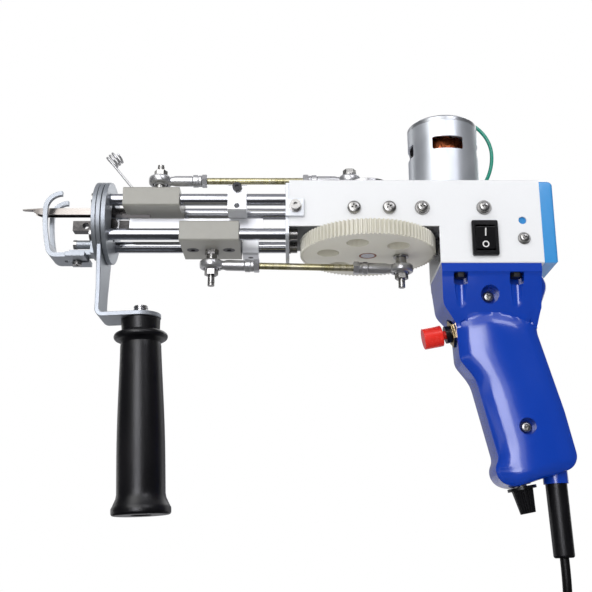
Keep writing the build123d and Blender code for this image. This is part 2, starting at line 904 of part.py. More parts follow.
handle_profile = Plane(origin=foot_bottom, x_dir=(cos(lean), 0, sin(lean)), z_dir=(0, 1, 0))
with BuildPart() as front_handle:
    with BuildSketch(handle_profile):
        with BuildLine():
            collar_end = grip_neck_length + grip_collar_length
            Polyline((0, 0), (grip_neck_r, 0), (grip_neck_r, grip_neck_length),
                     (grip_collar_r, grip_neck_length), (grip_collar_r, collar_end),
                     (grip_waist_r, collar_end), (grip_waist_r, grip_waist_at))
            Spline((grip_waist_r, grip_waist_at), (grip_belly_r, grip_belly_at), (grip_belly_r, grip_flare_at),
                   tangents=((0, 1), (0, 1)))
            Polyline((grip_belly_r, grip_flare_at), (grip_lip_r, side_grip_length - grip_lip_length),
                     (grip_lip_r, side_grip_length - grip_edge), (grip_lip_r - grip_edge, side_grip_length),
                     (0, side_grip_length), (0, 0))
        make_face()
    revolve(axis=Axis(foot_bottom, down))
    rod(Plane(origin=foot_bottom, z_dir=down), stud_r + thread_gap, stud_below + overrun, Mode.SUBTRACT)

with BuildPart() as handle_stud:
    rod(Plane(origin=foot_bottom + down * stud_below, z_dir=-down), stud_r, stud_below + ring_thick + stud_above)

# Presser foot
foot_tail_x = gear_x - foot_rear
with BuildPart() as presser_foot:
    with BuildLine(Plane.XZ):
        sole = Line((foot_tail_x, sole_z), (foot_tail_x - foot_sole_length, sole_z))
        toe = JernArc(sole @ 1, sole % 1, foot_toe_r, -foot_toe_turn)
        shin = JernArc(toe @ 1, toe % 1, foot_shin_r, -foot_shin_turn)
        hook = JernArc(shin @ 1, shin % 1, foot_hook_r, -foot_hook_turn)
    with BuildSketch(along_x(foot_tail_x, 0, sole_z)):
        Rectangle(2 * strip_half, strip_thick)
    sweep()
    foot_tip_x = (hook @ 1).X
    slab((foot_tail_x - foot_tail_length, foot_tail_x), (-foot_tail_half, foot_tail_half),
         (sole_z - strip_thick / 2, sole_z + strip_thick / 2))
    slab((foot_tail_x - foot_sole_length - foot_shin_r, foot_tip_x + overrun), (-slot_half, slot_half),
         (deck_z - slot_bottom_drop, deck_z), Mode.SUBTRACT)
    with BuildSketch(along_z(gear_x - foot_screw_x, 0, sole_z - strip_thick / 2 - overrun)):
        SlotOverall(2 * foot_slot_half, 2 * (m3_r + part_gap))
    extrude(amount=strip_thick + 2 * overrun, mode=Mode.SUBTRACT)

with BuildPart() as foot_post:
    tongue_low = sole_z + strip_thick / 2 + part_gap
    slab((gear_x - tongue_front, front_disc_x0), (-tongue_half, tongue_half), (tongue_low, tongue_low + tongue_thick))
    slab((front_disc_x0 - flange_thick, front_disc_x0), (-flange_half, flange_half),
         (tongue_low, deck_z - flange_top_drop))
    rod(along_z(gear_x - foot_screw_x, 0, tongue_low - overrun), m3_r + thread_gap, tongue_thick + 2 * overrun,
        Mode.SUBTRACT)
    rod(along_x(gear_x - spacer_front, spacer_y, deck_z - spacer_drop), spacer_r,
        spacer_front - front_disc_front)
    rod(along_x(gear_x - spacer_front - overrun, spacer_y, deck_z - spacer_drop), m3_r + thread_gap,
        spacer_front - front_disc_front + 2 * overrun, Mode.SUBTRACT)

with BuildPart() as cutter_guide:
    slab((gear_x - guide_front, front_disc_x0), (guide_y_near, guide_y_far),
         (deck_z - guide_bottom_drop, deck_z - guide_top_drop))
    rod(along_y(gear_x - guide_hole_x, guide_y_near - overrun, deck_z - (guide_top_drop + guide_bottom_drop) / 2),
        guide_hole_r, guide_y_far - guide_y_near + 2 * overrun, Mode.SUBTRACT)

# Stop blocks on the near upper rod and the far lower rod
upper_stop_x = gear_x - (upper_stop_front + upper_stop_rear) / 2
with BuildPart() as stop_blocks:
    upper = slab((gear_x - upper_stop_front, gear_x - upper_stop_rear),
                 (-rod_pitch_y / 2 - stop_half_y, -rod_pitch_y / 2 + stop_half_y),
                 (deck_z - upper_stop_bottom_drop, deck_z - upper_stop_top_drop))
    slab((gear_x - lower_stop_front, gear_x - lower_stop_rear),
         (rod_pitch_y / 2 - stop_half_y, rod_pitch_y / 2 + stop_half_y),
         (lower_rod_z - lower_stop_half_z, lower_rod_z + lower_stop_half_z))
    chamfer(stop_blocks.edges().filter_by(Axis.X), stop_edge)
    for y, z in ((-rod_pitch_y / 2, upper_rod_z), (rod_pitch_y / 2, lower_rod_z)):
        rod(along_x(gear_x - upper_stop_front - overrun, y, z), rod_r + slide_gap,
            upper_stop_front - lower_stop_rear + 2 * overrun, Mode.SUBTRACT)
    near_face = -rod_pitch_y / 2 - stop_half_y
    rod(along_y(upper_stop_x, near_face - overrun, deck_z - upper_stop_screw_drop), m3_r + thread_gap,
        stop_screw_length + overrun, Mode.SUBTRACT)
    rod(along_y(upper_stop_x, near_face - overrun, deck_z - upper_stop_hole_drop), upper_stop_hole_r,
        stop_screw_length, Mode.SUBTRACT)
    lower_stop_x = gear_x - (lower_stop_front + lower_stop_rear) / 2
    lower_stop_low = lower_rod_z - lower_stop_half_z
    rod(along_z(lower_stop_x, rod_pitch_y / 2, lower_stop_low - overrun), m3_r + thread_gap,
        lower_stop_half_z - rod_r + overrun, Mode.SUBTRACT)

with BuildPart() as stop_screws:
    socket_screw(along_y(upper_stop_x, near_face, deck_z - upper_stop_screw_drop, -1), m3_head_r,
                 m3_head_height, m3_r, stop_screw_length - overrun)
    rod(along_z(lower_stop_x, rod_pitch_y / 2, lower_stop_low), m3_r, lower_stop_half_z - rod_r - thread_gap)

# Gear shaft, its bearings and their block
block_half_y = inner_half - block_side_gap
with BuildPart() as bearing_block:
    slab((block_x - block_half_x, block_x + block_half_x), (-block_half_y, block_half_y),
         (deck_z - block_bottom_drop, deck_z - block_top_drop))
    rod(along_z(gear_x, 0, deck_z - block_bottom_drop - overrun), block_bore_r,
        block_bottom_drop - block_top_drop + 2 * overrun, Mode.SUBTRACT)
    rod(along_z(gear_x, 0, deck_z - block_bottom_drop - overrun), bearing_r + thread_gap,
        bearing_height + overrun, Mode.SUBTRACT)
    rod(along_z(gear_x, 0, deck_z - block_top_drop + overrun, -1), bearing_r + thread_gap,
        bearing_height + overrun, Mode.SUBTRACT)
    for x in (block_x - block_screw_half, block_x + block_screw_half):
        rod(along_y(x, -block_half_y - overrun, deck_z - side_screw_drop), m4_r + thread_gap,
            2 * (block_half_y + overrun), Mode.SUBTRACT)

with BuildPart() as shaft_bearings:
    for low in (deck_z - block_bottom_drop, deck_z - block_top_drop - bearing_height):
        tube(along_z(gear_x, 0, low), bearing_r, bearing_bore_r + thread_gap, bearing_height)
    for face in (along_z(gear_x, 0, deck_z - block_bottom_drop), along_z(gear_x, 0, deck_z - block_top_drop, -1)):
        with BuildSketch(face):
            Circle(bearing_groove_r + bearing_groove_half)
            Circle(bearing_groove_r - bearing_groove_half, mode=Mode.SUBTRACT)
        extrude(amount=bearing_groove_depth, mode=Mode.SUBTRACT)

with BuildPart() as drive_gear:
    toothed_wheel(along_z(gear_x, 0, gear_bottom_z), gear_teeth, 0, gear_top_z - gear_bottom_z)
    with BuildSketch(along_z(gear_x, 0, gear_bottom_z - overrun)):
        with PolarLocations(gear_hole_circle_r, gear_hole_count, gear_hole_first, gear_hole_step * gear_hole_count):
            Circle(gear_hole_r)
    extrude(amount=overrun + gear_pocket_depth, mode=Mode.SUBTRACT)
    with BuildSketch(along_z(gear_x, 0, gear_bottom_z - overrun)):
        Circle(bush_r + thread_gap)
    extrude(amount=gear_top_z - gear_bottom_z + 2 * overrun, mode=Mode.SUBTRACT)

with BuildPart() as gear_bush:
    tube(along_z(gear_x, 0, gear_bottom_z), bush_r, main_shaft_r + thread_gap, gear_top_z - gear_bottom_z)
    tube(along_z(gear_x, 0, gear_top_z), bush_flange_r, main_shaft_r + thread_gap,
         gear_top_drop - block_bottom_drop - part_gap)

with BuildPart() as gear_shaft:
    rod(along_z(gear_x, 0, gear_bottom_z), main_shaft_r, crank_top_z - gear_bottom_z)

with BuildPart() as top_crank:
    tube(along_z(gear_x, 0, deck_z + crank_bottom), crank_r, main_shaft_r + thread_gap, crank_top - crank_bottom)
    tube(along_z(gear_x, 0, deck_z + crank_bottom), crank_hub_r, main_shaft_r + thread_gap,
         -crank_bottom - block_top_drop + part_gap)

# Motor
with BuildPart() as motor_mount:
    mount_low = motor_bottom_z - mount_floor
    slab((mount_x - mount_half_x, mount_x + mount_half_x), (-block_half_y, block_half_y),
         (mount_low, deck_z - mount_post_top_drop))
    rod(along_z(motor_x, 0, motor_bottom_z), motor_r + part_gap, motor_bottom_drop, Mode.SUBTRACT)
    rod(along_z(motor_x, 0, mount_low - overrun), mount_hole_r, mount_floor + 2 * overrun, Mode.SUBTRACT)
    with BuildSketch(along_z(motor_x, 0, mount_low - overrun)):
        with GridLocations(motor_screw_pitch, motor_screw_pitch, 1, 2):
            Circle(m4_r + thread_gap)
    extrude(amount=mount_floor + 2 * overrun, mode=Mode.SUBTRACT)
    for x in (mount_x - mount_screw_half, mount_x + mount_screw_half):
        rod(along_y(x, -block_half_y - overrun, deck_z - side_screw_drop), m4_r + thread_gap,
            2 * (block_half_y + overrun), Mode.SUBTRACT)

with BuildPart() as motor_can:
    tube(along_z(motor_x, 0, motor_bottom_z), motor_r, motor_r - motor_wall, cap_z - motor_bottom_z)
    tube(along_z(motor_x, 0, motor_bottom_z), motor_r, motor_shaft_r + thread_gap, motor_wall)
    tube(along_z(motor_x, 0, motor_bottom_z, -1), motor_boss_r, motor_shaft_r + thread_gap, motor_boss_height)
    with BuildSketch(along_z(motor_x, 0, motor_bottom_z - overrun)):
        with GridLocations(motor_screw_pitch, motor_screw_pitch, 1, 2):
            Circle(m4_r + thread_gap)
    extrude(amount=motor_wall + 2 * overrun, mode=Mode.SUBTRACT)
    window_mid_z = deck_z + (window_bottom + window_top) / 2
    for place in (along_y(motor_x, -motor_r - overrun, window_mid_z),
                  along_x(motor_x - motor_r - overrun, 0, window_mid_z)):
        with BuildSketch(place):
            RectangleRounded(2 * window_half, window_top - window_bottom, window_corner)
        extrude(amount=2 * (motor_r + overrun), mode=Mode.SUBTRACT)
    magnet_r = motor_r - motor_wall
    with BuildSketch(along_z(motor_x, 0, deck_z - magnet_bottom_drop)):
        Circle(magnet_r - thread_gap)
        Circle(magnet_r - magnet_thick, mode=Mode.SUBTRACT)
        Rectangle(2 * magnet_gap_half, 2 * magnet_r, mode=Mode.SUBTRACT)
    extrude(amount=magnet_top + magnet_bottom_drop)

with BuildPart() as motor_cap:
    rod(along_z(motor_x, 0, cap_z), motor_r, motor_cap_height)
    chamfer(motor_cap.edges().sort_by(Axis.Z)[-1], motor_rim_bevel)
    rod(along_z(motor_x, 0, motor_top_z), bearing_cup_r, bearing_cup_height)
    rod(along_z(motor_x, 0, cap_z - overrun), motor_shaft_r + thread_gap,
        motor_cap_height + bearing_cup_height + 2 * overrun, Mode.SUBTRACT)
    for side in (-1, 1):
        at = side * terminal_at
        slab((motor_x - terminal_half, motor_x + terminal_half), (at - terminal_thick / 2, at + terminal_thick / 2),
             (motor_top_z, motor_top_z + motor_tab_height))
        inner = side * (commutator_r + thread_gap)
        outer = side * (motor_r - motor_wall - part_gap)
        slab((motor_x - brush_half, motor_x + brush_half), (min(inner, outer), max(inner, outer)),
             (cap_z - brush_height, cap_z))

armature_slots = PolarLocations(core_r - core_slot_depth / 2, core_slots)
with BuildPart() as armature:
    rod(along_z(motor_x, 0, deck_z - shaft_end_drop), motor_shaft_r, motor_top_z + shaft_end_drop - deck_z)
    rod(along_z(motor_x, 0, deck_z - core_bottom_drop), core_r, core_top + core_bottom_drop)
    with BuildSketch(along_z(motor_x, 0, deck_z - core_bottom_drop - overrun)):
        with armature_slots:
            Rectangle(core_slot_depth + core_slot_width, core_slot_width)
    extrude(amount=core_top + core_bottom_drop + 2 * overrun, mode=Mode.SUBTRACT)
    rod(along_z(motor_x, 0, deck_z + winding_top), commutator_r, commutator_top - winding_top)

with BuildPart() as windings:
    tube(along_z(motor_x, 0, deck_z + core_top), winding_r, motor_shaft_r + thread_gap, winding_top - core_top)
    tube(along_z(motor_x, 0, deck_z - core_bottom_drop, -1), winding_r, motor_shaft_r + thread_gap,
         winding_bottom_drop - core_bottom_drop)
    fillet(windings.edges().filter_by(GeomType.CIRCLE).filter_by(lambda e: abs(e.radius - winding_r) < part_gap),
           winding_round)

with BuildPart() as pinion:
    toothed_wheel(along_z(motor_x, 0, deck_z - pinion_bottom_drop), pinion_teeth, 180 + 180 / pinion_teeth,
                  pinion_bottom_drop - pinion_top_drop)
    rod(along_z(motor_x, 0, deck_z - pinion_bottom_drop - overrun), motor_shaft_r + thread_gap,
        pinion_bottom_drop - pinion_top_drop + 2 * overrun, Mode.SUBTRACT)

bow_bottom = radians(earth_bow_bottom)
bow_top = radians(earth_bow_top)
bow_z = deck_z + earth_bow_height
hook_r = (bow_z + earth_crown_r * sin(bow_top) - motor_top_z) / sin(bow_top)
bend_z = bow_z + earth_bow_r * sin(bow_bottom) + earth_bend_r * sin(bow_bottom)
step_x = wire_down_x + earth_step_x
board_top_z = deck_z - board_drop + board_half_z
with BuildPart() as earth_wire:
    with BuildLine(Plane.XZ):
        lower = FilletPolyline((step_x, board_top_z + terminal_height), (step_x, deck_z - earth_step_end_drop),
                               (wire_down_x, deck_z - earth_step_drop), (wire_down_x, bend_z),
                               radius=earth_bend_r)
        bend = JernArc(lower @ 1, lower % 1, earth_bend_r, earth_bow_bottom)
        side = JernArc(bend @ 1, bend % 1, earth_bow_r, -earth_bow_bottom)
        bow = JernArc(side @ 1, side % 1, earth_crown_r, earth_bow_top)
        JernArc(bow @ 1, bow % 1, hook_r, 180 - earth_bow_top)
    with BuildSketch(along_z(step_x, 0, board_top_z + terminal_height)):
        Circle(earth_wire_r)
    sweep()

# Power switch
with BuildPart() as switch_body:
    face_y = -housing_width / 2
    slab((switch_x - bezel_width / 2, switch_x + bezel_width / 2), (face_y - bezel_proud, face_y),
         (switch_z - bezel_height / 2, switch_z + bezel_height / 2))
    fillet(switch_body.edges().filter_by(Axis.Y), bezel_corner)
    slab((switch_x - switch_width / 2, switch_x + switch_width / 2), (face_y, face_y + switch_depth),
         (switch_z - switch_height / 2, switch_z + switch_height / 2))
    slab((switch_x - rocker_width / 2 - rocker_gap, switch_x + rocker_width / 2 + rocker_gap),
         (face_y - bezel_proud - overrun, face_y - bezel_proud + switch_well_depth),
         (switch_z - rocker_well_half, switch_z + rocker_well_half), Mode.SUBTRACT)
    rod(along_x(switch_x - switch_width / 2, face_y + rocker_pivot_y, switch_z), rocker_pin_r + thread_gap,
        switch_width, Mode.SUBTRACT)
    for side in (-1, 1):
        tab_z = switch_z + side * switch_tab_pitch
        slab((switch_x - switch_tab_half, switch_x + switch_tab_half),
             (face_y + switch_depth, face_y + switch_depth + switch_tab_length),
             (tab_z - switch_tab_thick / 2, tab_z + switch_tab_thick / 2))

pivot = (0, face_y + rocker_pivot_y, switch_z)
with BuildPart() as rocker:
    tilt = radians(rocker_tilt)
    rocker_plane = Plane(origin=(switch_x - rocker_width / 2, pivot[1], pivot[2]),
                         x_dir=(0, -cos(tilt), -sin(tilt)), z_dir=(1, 0, 0))
    with BuildSketch(rocker_plane):
        with BuildLine():
            Polyline((rocker_crown, -rocker_half), (rocker_valley, 0), (rocker_crown, rocker_half),
                     (-rocker_root, rocker_root_half), (-rocker_root, -rocker_root_half), close=True)
        make_face()
    extrude(amount=rocker_width)
    fillet(rocker.edges().filter_by(Axis.X).sort_by(Axis.Y)[0:3], rocker_edge)
    rod(along_x(switch_x - switch_width / 2 + rocker_gap, pivot[1], pivot[2]), rocker_pin_r,
        switch_width - 2 * rocker_gap)

# Rear grip: the outer form, its cavity and its screw posts, then the two halves
def grip_outline():
    """The closed outline of the grip's side view."""
    corners = [(gear_x + grip_front + grip_depth * x, base_z - grip_length * z) for x, z, _ in grip_corner_shares]
    FilletPolyline(*corners, radius=[grip_depth * r for _, _, r in grip_corner_shares[1:-1]])
    Line(corners[-1], corners[0])


button_way = Vector(-cos(radians(button_lean)), 0, -sin(radians(button_lean)))
button_at = Vector(gear_x + button_x, 0, deck_z - button_drop)
knob_way = Vector(sin(radians(knob_lean)), 0, -cos(radians(knob_lean)))
knob_at = Vector(gear_x + knob_x, 0, deck_z - knob_drop)
sleeve_way = Vector(sin(radians(sleeve_lean)), 0, -cos(radians(sleeve_lean)))
sleeve_at = Vector(gear_x + sleeve_x, 0, deck_z - sleeve_drop)
screw_places = ((gear_x + upper_screw_x, deck_z - upper_screw_drop, upper_recess_r),
                (gear_x + lower_screw_x, deck_z - lower_screw_drop, lower_recess_r))


def facing(origin, way):
    """A plane that faces along a direction in the machine's middle plane, with its y axis sideways."""
    return Plane(origin=origin, x_dir=way.cross(Vector(0, 1, 0)) * -1, z_dir=way)


with BuildPart() as shoulders:
    with BuildSketch(along_x(gear_x + grip_front, 0, base_z)):
        with BuildLine():
            waist = shoulder_waist_drop - housing_height
            Polyline((-shoulder_half, 0), (shoulder_half, 0), (shoulder_half, -shoulder_lip),
                     (shoulder_half - shoulder_step, -shoulder_lip - shoulder_step),
                     (shoulder_waist_half, -waist), (-shoulder_waist_half, -waist),
                     (-shoulder_half + shoulder_step, -shoulder_lip - shoulder_step),
                     (-shoulder_half, -shoulder_lip), close=True)
        make_face()
    extrude(amount=shoulder_rear - grip_front)
    with BuildSketch(Plane.XZ):
        with BuildLine():
            grip_outline()
        make_face()
    extrude(amount=housing_width, both=True, mode=Mode.INTERSECT)

with BuildPart() as grip_form:
    with BuildSketch(Plane.XZ):
        with BuildLine():
            grip_outline()
        make_face()
    extrude(amount=grip_half, both=True)
    for end in (grip_form.faces().sort_by(Axis.Y)[0], grip_form.faces().sort_by(Axis.Y)[-1]):
        rim = end.edges().filter_by(lambda e: abs((e @ 0).Z - base_z) + abs((e @ 1).Z - base_z) > overrun)
        fillet(rim, grip_round)
    add(shoulders.part)
    rod(facing(sleeve_at, sleeve_way), collar_r, -collar_rise)
    with BuildSketch(Plane.XZ):
        with BuildLine():
            grip_outline()
        make_face()
        offset(amount=-grip_wall, kind=Kind.ARC, mode=Mode.REPLACE)
    extrude(amount=grip_half - grip_wall, both=True, mode=Mode.SUBTRACT)
    for x, z, recess in screw_places:
        rod(along_y(x, -grip_half + grip_wall, z), boss_r, grip_half - grip_wall - boss_end)
        rod(along_y(x, -boss_end, z), post_r, boss_end + grip_half - grip_wall)
        rod(along_y(x, -shoulder_half - overrun, z), recess, shoulder_half + overrun - grip_screw_seat,
            Mode.SUBTRACT)
        rod(along_y(x, -grip_half, z), m3_r + thread_gap, grip_half - grip_screw_seat + grip_screw_length,
            Mode.SUBTRACT)
    rod(along_z(wire_down_x, 0, base_z + overrun, -1), earth_hole_r, grip_wall + 2 * overrun, Mode.SUBTRACT)
    for x in (front_slot_x, rear_slot_x):
        for side in (-1, 1):
            inner = side * (shoulder_half - grip_slot_depth)
            outer = side * housing_width
            slab((gear_x + x - grip_slot_half, gear_x + x + grip_slot_half), (min(inner, outer), max(inner, outer)),
                 (deck_z - grip_slot_drop, deck_z - grip_slot_top_drop), Mode.SUBTRACT)
            rod(along_z(gear_x + x, side * groove_y, deck_z - grip_slot_top_drop, -1), groove_r,
                groove_bottom_drop - grip_slot_top_drop, Mode.SUBTRACT)
            rod(along_z(gear_x + x, side * (shoulder_half - bolt_inset), base_z + overrun, -1),
                m3_r + thread_gap, grip_slot_drop - housing_height + overrun, Mode.SUBTRACT)
    rod(facing(button_at, button_way * -1), bush_outer_r + thread_gap, bush_rear + overrun, Mode.SUBTRACT)
    rod(facing(button_at - button_way * button_nut_half, button_way), button_pocket_r, button_cap_end,
        Mode.SUBTRACT)
    rod(facing(knob_at + knob_way * pot_nut_start, knob_way), pot_nut_r + part_gap, grip_wall, Mode.SUBTRACT)
    rod(facing(knob_at + knob_way * pot_nut_start, knob_way * -1), pot_bush_r + thread_gap,
        pot_nut_start - pot_seat, Mode.SUBTRACT)
    with BuildSketch(facing(knob_at + knob_way * pot_seat, knob_way * -1)):
        Rectangle(2 * (pot_body_half + part_gap), 2 * (pot_body_half + part_gap))
    extrude(amount=pot_body_height + part_gap, mode=Mode.SUBTRACT)
    rod(facing(sleeve_at + sleeve_way * overrun, sleeve_way * -1), sleeve_root_r + thread_gap,
        collar_rise + 2 * overrun, Mode.SUBTRACT)

with BuildPart() as grip_left:
    add(grip_form.part)
    split(bisect_by=Plane.XZ, keep=Keep.TOP)

with BuildPart() as grip_right:
    add(grip_form.part)
    split(bisect_by=Plane.XZ, keep=Keep.BOTTOM)

with BuildPart() as grip_screws:
    for x, z, recess in screw_places:
        pan_screw(along_y(x, -grip_screw_seat, z, -1), grip_head_r, m3_head_height, m3_r, grip_screw_length)
    for x in (front_slot_x, rear_slot_x):
        for side in (-1, 1):
            y = side * (shoulder_half - bolt_inset)
            low = deck_z - grip_slot_top_drop
            hex_bar(along_z(gear_x + x, y, low, -1), m3_nut_flats, bolt_head_height)
            rod(along_z(gear_x + x, y, low), m3_r, grip_bolt_length)
            hex_nut(along_z(gear_x + x, y, base_z + housing_wall), m3_nut_flats, m3_r + thread_gap, m3_nut_height)

# Trigger button
with BuildPart() as button_bush:
    front = facing(button_at + button_way * bush_front, button_way * -1)
    tube(front, bush_outer_r, button_neck_r + thread_gap, bush_front + bush_rear)
    with BuildSketch(front.offset(bush_front + bush_rear)):
        Rectangle(2 * button_body_half, 2 * button_body_half)
    extrude(amount=button_body_length)

with BuildPart() as button_nut:
    hex_nut(facing(button_at - button_way * button_nut_half, button_way), button_nut_flats,
            bush_outer_r + thread_gap, 2 * button_nut_half)

with BuildPart() as button_cap:
    rod(facing(button_at + button_way * button_cap_start, button_way), button_cap_r,
        button_cap_end - button_cap_start)
    fillet(button_cap.edges().filter_by(GeomType.CIRCLE), button_edge)
    rod(facing(button_at + button_way * button_cap_start, button_way * -1), button_neck_r,
        button_cap_start + button_neck_end)

# Speed control
with BuildPart() as speed_pot:
    seat = facing(knob_at + knob_way * pot_seat, knob_way)
    with BuildSketch(seat):
        Rectangle(2 * pot_body_half, 2 * pot_body_half)
    extrude(amount=-pot_body_height)
    rod(seat, pot_bush_r, pot_nut_end - pot_seat)
    rod(facing(knob_at + knob_way * pot_nut_start, knob_way), pot_nut_r, pot_nut_end - pot_nut_start)
    rod(seat, pot_shaft_r, knob_start + knob_length / 2 - pot_seat)

with BuildPart() as speed_knob:
    knob_base = facing(knob_at + knob_way * knob_start, knob_way)
    rod(knob_base, knob_flange_r, knob_flange_height)
    with BuildSketch(knob_base):
        Circle(knob_top_r)
    with BuildSketch(knob_base.offset(knob_length)):
        Circle(knob_end_r)
    loft()
    for flute in range(knob_flutes):
        angle = 2 * pi * flute / knob_flutes
        low = knob_base.from_local_coords((knob_top_r * cos(angle), knob_top_r * sin(angle), knob_flange_height))
        high = knob_base.from_local_coords((knob_end_r * cos(angle), knob_end_r * sin(angle), knob_length))
        rod(Plane(origin=low, z_dir=high - low), knob_flute_r, (high - low).length + overrun, Mode.SUBTRACT)
    rod(knob_base.offset(-overrun), pot_shaft_r + thread_gap, overrun + knob_length / 2 + part_gap,
        Mode.SUBTRACT)

with BuildPart() as speed_board:
    board_lean_way = Vector(sin(radians(board_lean)), 0, -cos(radians(board_lean)))
    board_at = Vector(gear_x + board_x, -board_thick / 2, deck_z - board_drop)
    with BuildSketch(Plane(origin=board_at, x_dir=board_lean_way * -1, z_dir=(0, 1, 0))):
        Rectangle(2 * board_half_z, 2 * board_half_x)
    extrude(amount=board_thick)
    slab((step_x - terminal_block_half, step_x + terminal_block_half),
         (-terminal_block_half, terminal_block_half),
         (board_top_z - terminal_height, board_top_z + terminal_height))
    x, z, recess = screw_places[1]
    rod(along_y(x, -terminal_block_half, z), post_r + part_gap, 2 * terminal_block_half, Mode.SUBTRACT)

# Mains lead
sleeve_end = sleeve_at + sleeve_way * sleeve_length
with BuildPart() as cord_sleeve:
    with BuildSketch(facing(sleeve_at, sleeve_way)):
        Circle(sleeve_r)
    with BuildSketch(facing(sleeve_end, sleeve_way)):
        Circle(sleeve_end_r)
    loft()
    fillet(cord_sleeve.edges().filter_by(GeomType.CIRCLE).sort_by(Axis.Z)[0], sleeve_edge)
    rod(facing(sleeve_at, sleeve_way * -1), sleeve_root_r, collar_rise + sleeve_flange)
    rod(facing(sleeve_at - sleeve_way * collar_rise, sleeve_way * -1), sleeve_r, sleeve_flange)

lead_points, lead_radii = rounded_route(lead_route)
with BuildPart() as cord:
    with BuildLine():
        lead_path = FilletPolyline(*lead_points, radius=lead_radii)
    with BuildSketch(Plane(origin=lead_points[0], z_dir=lead_points[1] - lead_points[0])):
        Circle(cord_r)
    sweep()
print("lead radii", [round(radius, 1) for radius in lead_radii])
print("lead volume", round(cord.part.volume, 1), "section x length",
      round(pi * cord_r ** 2 * lead_path.length, 1))

coil_turns = coil_layers * coil_layer_turns
coil_swing = coil_pitch * coil_layer_turns / 2
lead_end = lead_points[-1]


def coil_place(turn):
    """The coil's centre line after so many turns from its start."""
    layer = min(int(turn / coil_layer_turns), coil_layers - 1)
    across = turn / coil_layer_turns - layer
    inward = across if layer % 2 == 0 else 1 - across
    radius = coil_mid_r + coil_swing * (1 - 2 * inward)
    climb = sum(min(max(2 * (turn - coil_layer_turns * k) + 1 / 2, 0), 1) for k in range(1, coil_layers))
    angle = 2 * pi * turn + pi / 2
    return Vector(coil_x + radius * cos(angle), radius * sin(angle), lead_end.Z + coil_pitch * climb)


coil_nodes = [k / coil_quarters for k in range(int(coil_turns * coil_quarters) + 1)]
coil_nudge = 1 / 50
coil_points = [coil_place(turn) for turn in coil_nodes]
coil_ways = [(coil_place(turn + coil_nudge) - coil_place(turn - coil_nudge)).normalized()
             for turn in coil_nodes[1:-1]]
forward = Vector(-1, 0, 0)
coil_ways = [forward, *coil_ways, forward]
tail_start = coil_points[-1] + forward * tail_straight
tail_end = Vector(tail_start.X - tail_drop_length, tail_y, floor_z + plug_half_height)
plug_at = tail_end + forward * 2 * cord_r
with BuildPart() as cord_coil:
    with BuildLine() as coil_path:
        Line(lead_end, coil_points[0])
        for near, near_way, far, far_way in zip(coil_points, coil_ways, coil_points[1:], coil_ways[1:]):
            biarc(near, near_way, far, far_way)
        Line(coil_points[-1], tail_start)
        biarc(tail_start, forward, tail_end, forward)
        Line(tail_end, plug_at)
    with BuildSketch(Plane(origin=lead_end, z_dir=forward)):
        Circle(cord_r)
    sweep()
coil_wire = coil_path.wires()[0]
coil_length = coil_wire.length
coil_samples = [coil_wire @ (k / coil_sample_count) for k in range(coil_sample_count + 1)]
apart = int(pi * coil_mid_r / coil_length * coil_sample_count)
least = min((coil_samples[i] - coil_samples[j]).length
            for i in range(len(coil_samples)) for j in range(i + apart, len(coil_samples)))
print("coil volume", round(cord_coil.part.volume, 1), "section x length",
      round(pi * cord_r ** 2 * coil_length, 1), "least gap", round(least - 2 * cord_r, 2))
print("lead length", round(lead_path.length + coil_length, 1))

with BuildPart() as plug:
    rod(Plane(origin=plug_at, z_dir=forward), plug_neck_r, plug_neck_length)
    body_at = plug_at + forward * plug_neck_length
    slab((body_at.X - plug_length, body_at.X), (body_at.Y - plug_half_width, body_at.Y + plug_half_width),
         (body_at.Z - plug_half_height, body_at.Z + plug_half_height))
    fillet(plug.edges().filter_by(Axis.X), plug_round)
    for side in (-1, 1):
        y = body_at.Y + side * blade_pitch / 2
        slab((body_at.X - plug_length - blade_length, body_at.X - plug_length),
             (y - blade_half_thick, y + blade_half_thick),
             (body_at.Z - blade_half_height, body_at.Z + blade_half_height))

with BuildPart() as coil_tie:
    tie_angle = radians(tie_at)
    tie_out = Vector(cos(tie_angle), sin(tie_angle), 0)
    tie_inner = sqrt((coil_mid_r - coil_swing - cord_r) ** 2 - tie_half ** 2) - tie_gap
    tie_outer = coil_mid_r + coil_swing + cord_r + tie_gap
    tie_low = lead_end.Z - cord_r - tie_gap
    tie_high = lead_end.Z + coil_pitch * (coil_layers - 1) + cord_r + tie_gap
    tie_plane = Plane(origin=Vector(coil_x, 0, 0) + tie_out.rotate(Axis.Z, 90) * -tie_half, x_dir=tie_out,
                      z_dir=tie_out.rotate(Axis.Z, 90))
    with BuildSketch(tie_plane):
        with Locations(((tie_inner + tie_outer) / 2, -(tie_low + tie_high) / 2)):
            Rectangle(tie_outer - tie_inner + 2 * tie_thick, tie_high - tie_low + 2 * tie_thick)
            Rectangle(tie_outer - tie_inner, tie_high - tie_low, mode=Mode.SUBTRACT)
    extrude(amount=2 * tie_half)

# Needle carriage
needle_slider_z = (deck_z - needle_slider_bottom_drop, deck_z - needle_slider_top_drop)
needle_front_x = gear_x - needle_slider_front
needle_top_z = deck_z - needle_slider_bottom_drop + needle_height
guide_way = Vector(cos(radians(guide_slope)), 0, -sin(radians(guide_slope)))
guide_axis = Vector(sin(radians(guide_slope)), 0, cos(radians(guide_slope)))


def guide_place(turn):
    """The yarn guide's centre line so many turns before the wire leaves its eye."""
    angle = -pi / 2 - 2 * pi * turn
    eye = Vector(gear_x - guide_eye_x, 0, deck_z + guide_eye_height) + guide_axis * guide_eye_pitch * turn
    return eye + (guide_way * cos(angle) + Vector(0, 1, 0) * sin(angle)) * guide_eye_r


